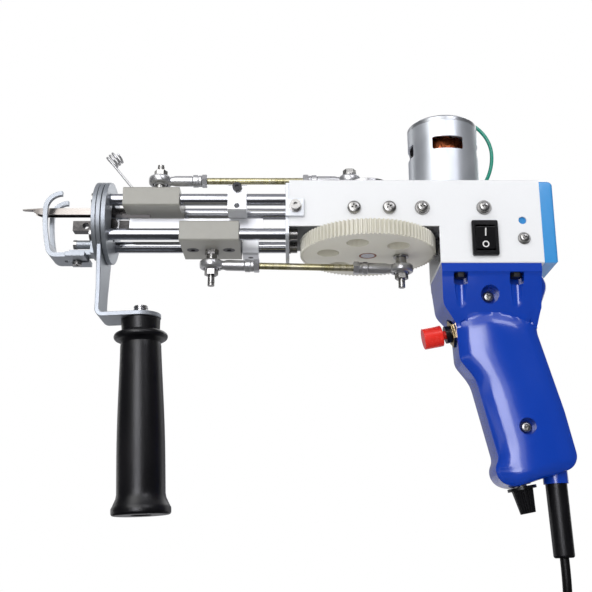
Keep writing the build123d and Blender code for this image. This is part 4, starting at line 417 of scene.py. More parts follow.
MARK_FINISH = Finish("black_plastic", (0.80, 0.80, 0.80), (0.76, 0.76, 0.76), (0.74, 0.74, 0.74), smooth=0.4,
                     rough=0.55, grain_scale=1500.0)
THREAD_FINISH = Finish("yellow_zinc", (0.24, 0.215, 0.075), (0.15, 0.14, 0.045), (0.30, 0.26, 0.12),
                       metallic=0.9, smooth=0.25, rough=0.45, grain_scale=1200.0, wear_scale=110.0,
                       wear_amount=0.8)


class Shop:
    """What every sub-assembly needs: the loaded frame and the finishes."""

    def __init__(self, frame: dict) -> None:
        """Builds the materials.
        """
        self.nodes = frame["nodes"]
        self.effects = EffectGroups()
        self.materials = {finish.slot: finish.material(self.effects) for finish in FINISHES}
        self.mark_material = MARK_FINISH.material(self.effects)
        self.mark_material.name = "mark_paint"
        self.thread_material = THREAD_FINISH.material(self.effects)
        self.thread_material.name = "yellow_zinc_thread"
        record = frame["record"]
        self.slots = {part["node"]: part["material_slot"] for part in record["subparts"]}
        bodies = record["behaviour"]["bodies"]
        self.body_of = {node: body for body, members in bodies.items() for node in members}

    def add(self, name: str, mesh: bpy.types.Mesh, body: str, slot: str, replaced: Iterable[str] = (),
            material: bpy.types.Material | None = None) -> bpy.types.Object:
        """Puts a finished mesh on its body.

        Args:
            name: The piece's name.
            mesh: The mesh, in place in the machine's frame.
            body: The body that it rides on.
            slot: The record's material slot.
            replaced: The nodes that it stands for.
            material: Another material than the slot's own.

        Returns:
            The piece.
        """
        piece = placed(name, mesh)
        mesh.materials.clear()
        mesh.materials.append(material or self.materials[slot])
        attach(piece, body)
        if replaced:
            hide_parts(*replaced)
        log.info("%s: %d faces on %s", name, len(mesh.polygons), body)
        return piece

    def merged(self, node: str, flatten: bool = True) -> bpy.types.Mesh:
        """A node's own form as one closed mesh.

        Args:
            node: The node's name.
            flatten: Whether coplanar triangles are joined.

        Returns:
            The mesh, smooth but for its sharp edges.
        """
        form = bmesh.new()
        form.from_mesh(self.nodes[node].data)
        bmesh.ops.remove_doubles(form, verts=form.verts, dist=MERGE_DISTANCE)
        if flatten:
            bmesh.ops.dissolve_limit(form, angle_limit=FLAT_ANGLE, verts=form.verts, edges=form.edges,
                                     delimit={"NORMAL"})
        form.verts.index_update()
        mesh = bpy.data.meshes.new(node + "_form")
        faces = [[v.index for v in face.verts] for face in form.faces]
        mesh.from_pydata([v.co.copy() for v in form.verts], [], faces)
        form.free()
        smooth(mesh)
        return mesh

    def dress(self, node: str, name: str, edge: float = 0.0,
              material: bpy.types.Material | None = None) -> bpy.types.Object:
        """A node's form with eased edges and its slot's finish.

        Args:
            node: The node that it stands for.
            name: The piece's name.
            edge: The width to which its sharp edges are eased.
            material: Another material than the slot's own.

        Returns:
            The piece.
        """
        piece = self.add(name, self.merged(node, edge > 0), self.body_of[node], self.slots[node], [node],
                         material)
        if edge > 0:
            ease(piece, edge)
        return piece

    def split(self, node: str, parts: dict[str, tuple[str, Callable[[Vector], bool]]]) -> None:
        """A node whose solids have different finishes, as one piece for each finish.

        Args:
            node: The node that they stand for.
            parts: The slot of each piece, and the test that picks its solids by their middle.
        """
        for name, (slot, picks) in parts.items():
            form = bmesh.new()
            form.from_mesh(self.merged(node, False))
            drop = [vert for island in islands(form) if not picks(middle(island)) for vert in island]
            bmesh.ops.delete(form, geom=drop, context="VERTS")
            self.add(name, as_mesh(form, name), self.body_of[node], slot, [node])

    def dress_rows(self, rows: Iterable[PieceRow]) -> None:
        """Dresses several nodes.

        Args:
            rows: The node, the piece's name and the eased edge's width of each.
        """
        for node, name, edge in rows:
            self.dress(node, name, edge)

    def paint_nodes(self) -> None:
        """Gives every node that still shows the finish of its slot."""
        for name, node in self.nodes.items():
            if not node.hide_render:
                node.data.materials.clear()
                node.data.materials.append(self.materials[self.slots[name]])


def islands(form: bmesh.types.BMesh) -> list[list[bmesh.types.BMVert]]:
    """The loose forms of a mesh.

    Args:
        form: The mesh.

    Returns:
        The vertices of each.
    """
    found, seen = [], set()
    for start in form.verts:
        if start in seen:
            continue
        island, waiting = [], [start]
        seen.add(start)
        while waiting:
            vert = waiting.pop()
            island.append(vert)
            for edge in vert.link_edges:
                other = edge.other_vert(vert)
                if other not in seen:
                    seen.add(other)
                    waiting.append(other)
        found.append(island)
    return found


def middle(verts: list[bmesh.types.BMVert]) -> Vector:
    """The middle of the box round some vertices.

    Args:
        verts: The vertices.

    Returns:
        The point.
    """
    return Vector([(min(v.co[k] for v in verts) + max(v.co[k] for v in verts)) / 2 for k in range(3)])


def smooth(mesh: bpy.types.Mesh) -> None:
    """Shades a mesh smooth but for its sharp edges.

    Args:
        mesh: The mesh.
    """
    mesh.validate()
    mesh.shade_smooth()
    mesh.set_sharp_from_angle(angle=SMOOTH_ANGLE)


def as_mesh(form: bmesh.types.BMesh, name: str, shaded: bool = True) -> bpy.types.Mesh:
    """Turns a form into a mesh and frees the form.

    Args:
        form: The form.
        name: The mesh's name.
        shaded: Whether it is shaded smooth but for its sharp edges.

    Returns:
        The mesh.
    """
    mesh = bpy.data.meshes.new(name)
    form.to_mesh(mesh)
    form.free()
    if shaded:
        smooth(mesh)
    return mesh


def ease(piece: bpy.types.Object, width: float) -> None:
    """Rounds a piece's sharp edges.

    Args:
        piece: The piece.
        width: The bevel's width in metres.
    """
    bevel = piece.modifiers.new("eased_edges", "BEVEL")
    bevel.width = width
    bevel.segments = EASE_SEGMENTS
    bevel.limit_method = "ANGLE"
    bevel.angle_limit = EASE_ANGLE
    bevel.harden_normals = True


def lathe(profile: list[Pair], steps: int, name: str) -> bpy.types.Mesh:
    """A body of revolution about Z.

    Args:
        profile: (radius, height) pairs from one pole to the other; a radius of 0 closes the form.
        steps: The number of steps around.
        name: The mesh's name.

    Returns:
        The closed mesh.
    """
    form = bmesh.new()
    rings = []
    for radius, height in profile:
        if radius == 0:
            rings.append([form.verts.new((0, 0, height))])
        else:
            angles = [2 * pi * k / steps for k in range(steps)]
            rings.append([form.verts.new((radius * cos(angle), radius * sin(angle), height))
                          for angle in angles])
    for low, high in zip(rings, rings[1:]):
        for k in range(steps):
            after = (k + 1) % steps
            corners = [low[k % len(low)], low[after % len(low)], high[after % len(high)], high[k % len(high)]]
            form.faces.new(list(dict.fromkeys(corners)))
    bmesh.ops.recalc_face_normals(form, faces=form.faces)
    return as_mesh(form, name)


def round_over(centre: Pair, radius: float, first: float, last: float, steps: int) -> list[Pair]:
    """Points of an arc in a lathe profile.

    Args:
        centre: The arc's centre.
        radius: Its radius.
        first: The first point's angle in degrees.
        last: The last point's angle in degrees.
        steps: The number of steps.

    Returns:
        The points.
    """
    angles = [radians(first + (last - first) * k / steps) for k in range(steps + 1)]
    return [(centre[0] + radius * cos(angle), centre[1] + radius * sin(angle)) for angle in angles]


def standing(origin: Vector, way: Vector) -> Matrix:
    """The transform that stands a form along Z at a place.

    Args:
        origin: Where the form's origin goes.
        way: The direction of its Z axis.

    Returns:
        The matrix.
    """
    return Matrix.Translation(origin) @ way.to_track_quat("Z", "Y").to_matrix().to_4x4()


class NodeTreeMaker(GroupMaker):
    """A geometry node tree under construction."""

    def __init__(self, name: str, inputs: dict[str, tuple[str, object]]) -> None:
        """Starts a tree with named inputs.

        Args:
            name: The tree's name.
            inputs: Socket type and default for each input's name.
        """
        super().__init__(name, "GeometryNodeTree", {"Geometry": ("NodeSocketGeometry", None), **inputs},
                         {"Geometry": "NodeSocketGeometry"})

    def close(self, geometry: bpy.types.NodeSocket) -> "NodeTreeMaker":
        """Ends the tree in real geometry with the material.

        Args:
            geometry: What the tree has made.

        Returns:
            The maker.
        """
        real = self.node("GeometryNodeRealizeInstances", Geometry=geometry)
        painted = self.node("GeometryNodeSetMaterial", Geometry=real.outputs[0],
                            Material=self.given["Material"])
        self.feed(self.out, "Geometry", painted.outputs[0])
        return self

    def run(self, name: str, values: dict[str, object], base: bpy.types.Mesh | None = None) -> bpy.types.Mesh:
        """Runs the tree and returns its result as a plain mesh.

        Args:
            name: The mesh's name.
            values: A value for each input.
            base: The mesh that the tree starts from.

        Returns:
            The mesh.
        """
        holder = placed(name, base or bpy.data.meshes.new(name + "_base"))
        modifier = holder.modifiers.new(name, "NODES")
        modifier.node_group = self.tree
        for label, value in values.items():
            modifier[self.sockets[label]] = value
        bpy.context.view_layer.update()
        graph = bpy.context.evaluated_depsgraph_get()
        mesh = bpy.data.meshes.new_from_object(holder.evaluated_get(graph))
        mesh.name = name
        bpy.data.objects.remove(holder)
        return mesh


class Patterns:
    """Geometry node trees for what repeats or follows a path."""

    steps_per_turn = 20.0
    ridge_sides = 3
    ridge_share = 0.34
    arch_steps = 12
    wire_sides = 6
    wire_spacing = 1.9

    def __init__(self) -> None:
        """Builds each tree once."""
        self.thread = self._thread_tree()
        self.scatter = self._scatter_tree()
        self.winding = self._winding_tree()

    @staticmethod
    def _thread_tree() -> NodeTreeMaker:
        """A screw thread's ridge as a spiral along Z."""
        maker = NodeTreeMaker("thread_ridge", {
            "Radius": ("NodeSocketFloat", 0.002), "Pitch": ("NodeSocketFloat", 0.0007),
            "Length": ("NodeSocketFloat", 0.004), "Ridge": ("NodeSocketFloat", 0.00025),
            "Material": ("NodeSocketMaterial", None)})
        given = maker.given
        turns = maker.math("DIVIDE", given["Length"], given["Pitch"])
        steps = maker.math("MULTIPLY", turns, Patterns.steps_per_turn)
        spiral = maker.node("GeometryNodeCurveSpiral", Resolution=steps, Rotations=turns,
                            Start_Radius=given["Radius"], End_Radius=given["Radius"], Height=given["Length"])
        ridge = maker.node("GeometryNodeCurvePrimitiveCircle", {"mode": "RADIUS"},
                           Resolution=Patterns.ridge_sides, Radius=given["Ridge"])
        made = maker.node("GeometryNodeCurveToMesh", Curve=spiral.outputs[0], Profile_Curve=ridge.outputs[0],
                          Fill_Caps=True)
        return maker.close(made.outputs[0])

    @staticmethod
    def _scatter_tree() -> NodeTreeMaker:
        """A copy of one master form at each point, turned to the point's own direction."""
        maker = NodeTreeMaker("set_of_copies", {
            "Master": ("NodeSocketObject", None), "Material": ("NodeSocketMaterial", None)})
        given = maker.given
        facing = maker.node("GeometryNodeInputNamedAttribute", {"data_type": "FLOAT_VECTOR"}, Name="facing")
        turn = maker.node("GeometryNodeInputNamedAttribute", {"data_type": "FLOAT"}, Name="turn")
        aligned = maker.node("FunctionNodeAlignRotationToVector", {"axis": "Z"}, Vector=facing.outputs[0])
        spin = maker.node("ShaderNodeCombineXYZ", Z=turn.outputs[0])
        spun = maker.node("FunctionNodeRotateRotation", {"rotation_space": "LOCAL"},
                          Rotation=aligned.outputs[0], Rotate_By=spin.outputs[0])
        master = maker.node("GeometryNodeObjectInfo", {"transform_space": "ORIGINAL"}, Object=given["Master"])
        copies = maker.node("GeometryNodeInstanceOnPoints", Points=given["Geometry"],
                            Instance=master.outputs["Geometry"], Rotation=spun.outputs[0])
        return maker.close(copies.outputs[0])

    @staticmethod
    def _winding_tree() -> NodeTreeMaker:
        """Bundles of wire that arch from slot to slot round an armature."""
        maker = NodeTreeMaker("wound_wire", {
            "Slots": ("NodeSocketInt", 12), "Wires": ("NodeSocketInt", 7),
            "Core": ("NodeSocketFloat", 0.0135), "Reach": ("NodeSocketFloat", 0.010),
            "Rise": ("NodeSocketFloat", 0.013), "Wire": ("NodeSocketFloat", 0.00045),
            "Material": ("NodeSocketMaterial", None)})
        given = maker.given
        back = maker.math("MULTIPLY", given["Reach"], -1.0)
        start = maker.node("ShaderNodeCombineXYZ", X=given["Core"], Y=back)
        crown = maker.node("ShaderNodeCombineXYZ", X=given["Core"], Z=given["Rise"])
        finish = maker.node("ShaderNodeCombineXYZ", X=given["Core"], Y=given["Reach"])
        arch = maker.node("GeometryNodeCurveQuadraticBezier", Resolution=Patterns.arch_steps,
                          Start=start.outputs[0], Middle=crown.outputs[0], End=finish.outputs[0])
        wire = maker.node("GeometryNodeCurvePrimitiveCircle", {"mode": "RADIUS"},
                          Resolution=Patterns.wire_sides, Radius=given["Wire"])
        strand = maker.node("GeometryNodeCurveToMesh", Curve=arch.outputs[0], Profile_Curve=wire.outputs[0],
                            Fill_Caps=True)
        inward = maker.math("MULTIPLY", given["Wire"], -Patterns.wire_spacing)
        step = maker.node("ShaderNodeCombineXYZ", X=inward)
        row = maker.node("GeometryNodeMeshLine", Count=given["Wires"], Offset=step.outputs[0])
        bundle = maker.node("GeometryNodeInstanceOnPoints", Points=row.outputs[0], Instance=strand.outputs[0])
        turn = maker.math("DIVIDE", 2 * pi, given["Slots"])
        points = maker.node("GeometryNodePoints", Count=given["Slots"])
        index = maker.node("GeometryNodeInputIndex")
        angle = maker.math("MULTIPLY", index.outputs[0], turn)
        way = maker.node("ShaderNodeCombineXYZ", Z=angle)
        around = maker.node("GeometryNodeInstanceOnPoints", Points=points.outputs[0],
                            Instance=bundle.outputs[0], Rotation=way.outputs[0])
        return maker.close(around.outputs[0])

    def threads(self, name: str, shop: Shop, slot: str, origin: Vector, way: Vector, radius: float,
                length: float, pitch: float) -> bpy.types.Mesh:
        """A thread that starts at a place.

        Args:
            name: The mesh's name.
            shop: The shop.
            slot: The finish.
            origin: Where the thread starts.
            way: The direction in which it runs.
            radius: The bolt's radius.
            length: The threaded length.
            pitch: The distance from ridge to ridge.

        Returns:
            The mesh in place.
        """
        mesh = self.thread.run(name, {
            "Radius": radius, "Pitch": pitch, "Length": length, "Ridge": pitch * self.ridge_share,
            "Material": shop.materials[slot]})
        mesh.transform(standing(origin, way))
        smooth(mesh)
        return mesh

    def copies(self, name: str, master: bpy.types.Mesh, places: list[tuple[Vector, Vector, float]],
               material: bpy.types.Material) -> bpy.types.Mesh:
        """Copies of a form at several places.

        Args:
            name: The mesh's name.
            master: The form, standing on the origin along Z.
            places: The origin, direction and turn in degrees of each copy.
            material: The material.

        Returns:
            The mesh of all copies.
        """
        holder = bpy.data.objects.new(name + "_master", master)
        base = bpy.data.meshes.new(name + "_places")
        base.from_pydata([origin for origin, _, _ in places], [], [])
        for label, kind in (("facing", "FLOAT_VECTOR"), ("turn", "FLOAT")):
            base.attributes.new(label, kind, "POINT")
        for k, (_, way, angle) in enumerate(places):
            base.attributes["facing"].data[k].vector = way
            base.attributes["turn"].data[k].value = radians(angle)
        mesh = self.scatter.run(name, {"Master": holder, "Material": material}, base)
        bpy.data.objects.remove(holder)
        smooth(mesh)
        return mesh


@dataclass(frozen=True)
class Lamp:
    """A soft lamp: its place, its width and height, its power in watts, and whether polish mirrors it."""

    name: str
    at: Triple
    size: Pair
    power: float
    mirrored: bool = True


@dataclass(frozen=True)
class Card:
    """A glowing card that only reflections see: two opposite corners and its tone. It stops at the floor."""

    name: str
    low: Triple
    high: Triple
    tone: float

    def corners(self, floor: float) -> list[Triple]:
        """The corners of the level or upright card.

        Args:
            floor: The lowest height.

        Returns:
            The four corners in turn.
        """
        (x, y, z), (far_x, far_y, top) = self.low, self.high
        z, top = max(z, floor), max(top, floor)
        if z == top:
            return [(x, y, z), (far_x, y, z), (far_x, far_y, z), (x, far_y, z)]
        return [(x, y, z), (far_x, far_y, z), (far_x, far_y, top), (x, y, top)]


LAMPS = (
    Lamp("key_lamp", (-0.75, -0.95, 0.95), (0.9, 0.9), 6.0),
    Lamp("front_lamp", (-0.5, -1.5, 0.48), (0.85, 0.4), 4.0),
    Lamp("side_lamp", (0.75, -1.15, 0.85), (0.6, 0.6), 3.6, mirrored=False),
    Lamp("low_lamp", (-0.35, -0.95, -0.05), (0.5, 0.5), 1.0, mirrored=False),
    Lamp("back_lamp", (0.3, 1.1, 0.9), (0.9, 0.9), 5.0),
)
CARDS = (
    Card("near_floor_card", (-1.3, -0.6, -1.0), (0.1, 0.22, -1.0), 0.07),
    Card("side_floor_card", (0.1, -1.7, -1.0), (1.6, 0.22, -1.0), 0.05),
    Card("far_floor_card", (-1.3, 0.4, -1.0), (1.3, 2.0, -1.0), 0.5),
    Card("ceiling_card", (-1.4, -1.1, 1.3), (1.2, 1.1, 1.3), 0.42),
    Card("left_card", (-1.5, -1.6, -1.0), (-1.5, 0.9, 1.3), 0.08),
    Card("right_card", (1.3, -1.6, -1.0), (1.3, 0.9, 1.3), 0.08),
    Card("back_card", (-1.4, 1.7, -1.0), (1.3, 1.7, 1.3), 0.30),
    Card("front_card", (0.0, -1.7, -1.0), (1.7, -1.7, 1.1), 0.04),
    Card("softbox", (-0.75, -1.45, -0.05), (-0.2, -1.45, 0.5), 7.0),
    Card("high_softbox", (0.2, -1.4, 0.8), (1.0, -1.4, 1.25), 5.0),
    Card("corner_card", (-2.2, -1.7, -1.0), (-1.0, -1.7, 1.1), 0.06),
)


@dataclass
class Studio:
    """The camera, the pale floor, the lamps and what polished metal sees."""

    camera_at: Triple = (-0.1245, -0.51928, -0.10132)
    camera_pitch: float = 106.26
    lens: float = 56.25
    sensor: float = 36.0
    clip_start: float = 0.02
    aim_at: Triple = (-0.12, 0.0, 0.02)
    floor_half: float = 6.0
    floor_tone: float = 0.86
    floor_roughness: float = 0.8
    fade_from: float = 0.35
    fade_to: float = 1.3
    card_lift: float = 0.001
    card_blue: float = 1.08
    white: Triple = (1.0, 1.0, 1.0)
    world_light: float = 0.47

    def build(self) -> None:
        """Makes the camera, lamps, world, floor and cards."""
        scene = bpy.context.scene
        lens = bpy.data.cameras.new("camera")
        lens.lens = self.lens
        lens.sensor_width = self.sensor
        lens.clip_start = self.clip_start
        camera = placed("camera", lens)
        camera.location = self.camera_at
        camera.rotation_euler = (radians(self.camera_pitch), 0, 0)
        scene.camera = camera
        scene.view_settings.view_transform = "Standard"
        self._world()
        self._floor()
        for lamp in LAMPS:
            self._lamp(lamp)
        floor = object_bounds()[0].z + self.card_lift
        for card in CARDS:
            self._card(card, floor)
        log.info("studio ready")

    @staticmethod
    def _background_rays(maker: TreeBuilder) -> bpy.types.NodeSocket:
        """A value that is 1 for the rays that see the background.

        Args:
            maker: The builder of the tree.

        Returns:
            The value's socket.
        """
        path = maker.node("ShaderNodeLightPath").outputs
        direct = maker.math("MAXIMUM", path["Is Camera Ray"], path["Is Glossy Ray"])
        return maker.math("MAXIMUM", direct, path["Is Transmission Ray"])

    @staticmethod
    def _sheet(name: str, corners: list[Triple]) -> bpy.types.Object:
        """A flat sheet between four corners.

        Args:
            name: Its name.
            corners: The corners in turn.

        Returns:
            The object.
        """
        mesh = bpy.data.meshes.new(name)
        mesh.from_pydata(corners, [], [(0, 1, 2, 3)])
        return placed(name, mesh)

    def _world(self) -> None:
        """A white background and a plain soft light."""
        world = bpy.data.worlds.new("studio_world")
        bpy.context.scene.world = world
        world.use_nodes = True
        maker = TreeBuilder(world.node_tree)
        light = world.node_tree.nodes["Background"]
        maker.feed(light, "Color", (*self.white, 1.0))
        maker.feed(light, "Strength", self.world_light)
        shown = maker.node("ShaderNodeBackground", Color=(*self.white, 1.0))
        both = maker.node("ShaderNodeMixShader", n0=self._background_rays(maker), n1=light.outputs[0],
                          n2=shown.outputs[0])
        maker.feed(world.node_tree.nodes["World Output"], "Surface", both.outputs[0])

    def _floor(self) -> None:
        """A pale floor that keeps the shadow near the machine and fades to white far away."""
        low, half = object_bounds()[0].z, self.floor_half
        floor = self._sheet("floor", [(-half, -half, low), (half, -half, low), (half, half, low),
                                      (-half, half, low)])
        material, maker = new_material("floor_white")
        nodes = material.node_tree.nodes
        surface = nodes["Principled BSDF"]
        maker.feed(surface, "Base Color", (self.floor_tone, self.floor_tone, self.floor_tone, 1.0))
        maker.feed(surface, "Roughness", self.floor_roughness)
        place = maker.node("ShaderNodeTexCoord").outputs["Object"]
        distance = maker.node("ShaderNodeVectorMath", {"operation": "LENGTH"}, n0=place)
        fade = maker.node("ShaderNodeMapRange", Value=distance.outputs["Value"], From_Min=self.fade_from,
                          From_Max=self.fade_to)
        shine = maker.node("ShaderNodeEmission")
        both = maker.node("ShaderNodeMixShader", n1=surface.outputs[0], n2=shine.outputs[0],
                          n0=maker.math("MULTIPLY", fade.outputs["Result"], self._background_rays(maker)))
        maker.feed(nodes["Material Output"], "Surface", both.outputs[0])
        floor.data.materials.append(material)
        floor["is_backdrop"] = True

    def _lamp(self, lamp: Lamp) -> None:
        """Sets up a lamp that points at the machine's middle.

        Args:
            lamp: The lamp.
        """
        data = bpy.data.lights.new(lamp.name, "AREA")
        data.shape = "RECTANGLE"
        data.size, data.size_y = lamp.size
        data.energy = lamp.power
        holder = placed(lamp.name, data)
        holder.location = lamp.at
        holder.visible_glossy = lamp.mirrored
        aim = Vector(self.aim_at) - Vector(lamp.at)
        holder.rotation_euler = aim.to_track_quat("-Z", "Y").to_euler()

    def _card(self, card: Card, floor: float) -> None:
        """Sets up a card.

        Args:
            card: The card.
            floor: The height at which it stops.
        """
        shown = self._sheet(card.name, card.corners(floor))
        material, maker = new_material(card.name + "_grey")
        glow = maker.node("ShaderNodeEmission", Color=(card.tone, card.tone, card.tone * self.card_blue, 1.0))
        maker.feed(material.node_tree.nodes["Material Output"], "Surface", glow.outputs[0])
        shown.data.materials.append(material)
        shown.visible_camera = False
        shown.visible_diffuse = False
        shown.visible_shadow = False
        shown.visible_transmission = False
        shown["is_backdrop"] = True


@dataclass
class MainsLead:
    """The mains lead: its route, its put-away coil, its plug, its tie and the sleeve at the grip."""

    radius: float = 0.0025
    coil_x: float = -0.042
    coil_mid_r: float = 0.0273
    coil_pitch: float = 0.0056
    coil_layers: int = 4
    layer_turns: float = 2.25
    steps_per_turn: int = 24
    coil_z: float = -0.151
    tail_straight: float = 0.020
    tail_drop: float = 0.036
    tail_ease: float = 0.42
    tail_y: float = 0.028
    plug_z: float = -0.1461
    length: float = 1.7232
    curve_steps: int = 5
    curve_order: int = 3
    plug_edge: float = 0.0006
    tie_edge: float = 0.0002
    route: tuple[Triple, ...] = (
        (0.020545, 0.0, -0.097385), (0.02101, 0.0, -0.110), (0.0208, 0.0018, -0.123),
        (0.0182, 0.0064, -0.1362), (0.0122, 0.0144, -0.146), (0.0022, 0.0236, -0.1502),
        (-0.0102, 0.0306, -0.151), (-0.0245, 0.0336, -0.151), (-0.037, 0.0336, -0.151))

    def coil_point(self, turn: float) -> Triple:
        """The coil's line after so many turns.

        Args:
            turn: The turns from its start.

        Returns:
            The point.
        """
        layer = min(int(turn / self.layer_turns), self.coil_layers - 1)
        across = turn / self.layer_turns - layer
        inward = across if layer % 2 == 0 else 1 - across
        swing = self.coil_pitch * self.layer_turns / 2
        radius = self.coil_mid_r + swing * (1 - 2 * inward)
        climb = sum(min(max(2 * (turn - self.layer_turns * k) + 0.5, 0), 1)
                    for k in range(1, self.coil_layers))
        angle = 2 * pi * turn + pi / 2
        return (self.coil_x + radius * cos(angle), radius * sin(angle), self.coil_z + self.coil_pitch * climb)

    def line(self) -> list[Triple]:
        """The lead's control points from the sleeve to the plug."""
        turns = self.coil_layers * self.layer_turns
        steps = int(turns * self.steps_per_turn)
        coil = [self.coil_point(k / self.steps_per_turn) for k in range(1, steps + 1)]
        end_x, end_y, end_z = coil[-1]
        tail_x = end_x - self.tail_straight
        drop_x = tail_x - self.tail_drop
        tail = [(end_x - self.tail_straight / 2, end_y, end_z), (tail_x, end_y, end_z),
                (tail_x - self.tail_drop * self.tail_ease, end_y, end_z),
                (drop_x + self.tail_drop * self.tail_ease, self.tail_y, self.plug_z),
                (drop_x, self.tail_y, self.plug_z), (drop_x - 2 * self.radius, self.tail_y, self.plug_z)]
        return [*self.route, *coil, *tail]

    def build(self, shop: Shop) -> None:
        """Makes the lead and what is on it.

        Args:
            shop: The shop.
        """
        points = self.line()
        curve = bpy.data.curves.new("mains_lead", "CURVE")
        curve.dimensions = "3D"
        curve.bevel_depth = self.radius
        curve.bevel_resolution = self.curve_steps
        curve.resolution_u = self.curve_steps
        curve.use_fill_caps = True
        spline = curve.splines.new("NURBS")
        spline.points.add(len(points) - 1)
        for place, point in zip(spline.points, points):
            place.co = (*point, 1.0)
        spline.order_u = self.curve_order
        spline.use_endpoint_u = True
        curve.materials.append(shop.materials["cord_black"])
        lead = placed("mains_lead", curve)
        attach(lead, "machine_frame")
        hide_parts("cord", "cord_coil")
        plug = shop.dress("plug", "moulded_plug", self.plug_edge)
        tie = shop.dress("coil_tie", "hook_and_loop_tie", self.tie_edge)
        shop.dress("cord_sleeve", "strain_relief")
        log.info("mains lead: %d points", len(points))


@dataclass
class SideHandle:
    """The turning side handle: its bracket, its stud and the moulded grip."""

    lean: float = 2.74
    stud_behind: float = -0.1327
    foot_drop: float = 0.0755
    strip: float = 0.0025
    bracket_edge: float = 0.0003
    neck_r: float = 0.0113
    neck_edge: float = 0.0006
    neck_end: float = 0.0072
    neck_taper: float = 0.0004
    collar_r: float = 0.0155
    collar_round: float = 0.0022
    collar_sweep: float = 80.0
    collar_steps: int = 10
    collar_at: float = 0.0106
    collar_foot: Pair = (0.0002, 0.0008)
    collar_hollow: tuple[Pair, Pair] = ((0.0006, 0.0028), (-0.0002, 0.0040))
    belly_r: float = 0.0135
    waist_r: float = 0.0117
    body_top: float = 0.016
    body_length: float = 0.0835
    body_steps: int = 24
    belly_share: float = 0.78
    belly_power: float = 1.3
    flare_from: Pair = (0.0004, 0.1018)
    flare_to: Pair = (-0.0008, 0.1058)
    lip_from: float = 0.1072
    lip_r: float = 0.0165
    lip_round: float = 0.0014
    lip_steps: int = 6
    end_r: float = 0.0062
    end_dish_r: float = 0.0054
    end_dish: float = 0.0016
    length: float = 0.111
    steps: int = 72
    stud_r: float = 0.004
    stud_above: float = 0.0052
    stud_pitch: float = 0.00125
    thread_from: float = -0.0004
    thread_depth: float = 0.00015
    thread_short: float = 0.0012

    def _profile(self) -> list[Pair]:
        """The grip's side view, from its top down."""
        waist, belly, lip = self.waist_r, self.belly_r, self.lip_r
        neck = [(0.0, 0.0), (self.neck_r - self.neck_edge, 0.0), (self.neck_r, self.neck_edge),
                (self.neck_r - self.neck_taper, self.neck_end)]
        collar = [(self.neck_r + self.collar_foot[0], self.neck_end + self.collar_foot[1]),
                  *round_over((self.collar_r - self.collar_round, self.collar_at), self.collar_round,
                              -self.collar_sweep, self.collar_sweep, self.collar_steps),
                  *[(waist + out, self.collar_at + along) for out, along in self.collar_hollow]]
        body = []
        for k in range(self.body_steps + 1):
            share = k / self.body_steps
            swell = sin(min(share / self.belly_share, 1.0) * pi / 2) ** self.belly_power
            body.append((waist + (belly - waist) * swell, self.body_top + self.body_length * share))
        flare = [(belly + self.flare_from[0], self.flare_from[1]),
                 (lip + self.flare_to[0], self.flare_to[1]), (lip, self.lip_from),
                 *round_over((lip - self.lip_round, self.length - self.lip_round), self.lip_round,
                             0, 90, self.lip_steps)]
        end = [(self.end_r, self.length), (self.end_dish_r, self.length - self.end_dish),
               (0.0, self.length - self.end_dish)]
        return [*neck, *collar, *body, *flare, *end]

    def build(self, shop: Shop, patterns: Patterns) -> None:
        """Makes the handle's pieces.

        Args:
            shop: The shop.
            patterns: The geometry node trees.
        """
        lean = radians(self.lean)
        down = Vector((sin(lean), 0.0, -cos(lean)))
        top = fit_point(self.stud_behind, 0.0, self.foot_drop)
        grip = lathe(self._profile(), self.steps, "moulded_side_grip")
        grip.transform(standing(top + down * self.strip, down))
        shop.add("moulded_side_grip", grip, "side_handle", "black_rubber", ["front_handle"])
        shop.dress("handle_bracket", "plated_bracket", self.bracket_edge)
        shop.dress("handle_stud", "side_handle_stud")
        thread = patterns.threads("stud_thread", shop, "steel", top + down * self.thread_from, down * -1,
                                  self.stud_r - self.thread_depth, self.stud_above - self.thread_short,
                                  self.stud_pitch)
        shop.add("stud_thread", thread, "side_handle", "steel")


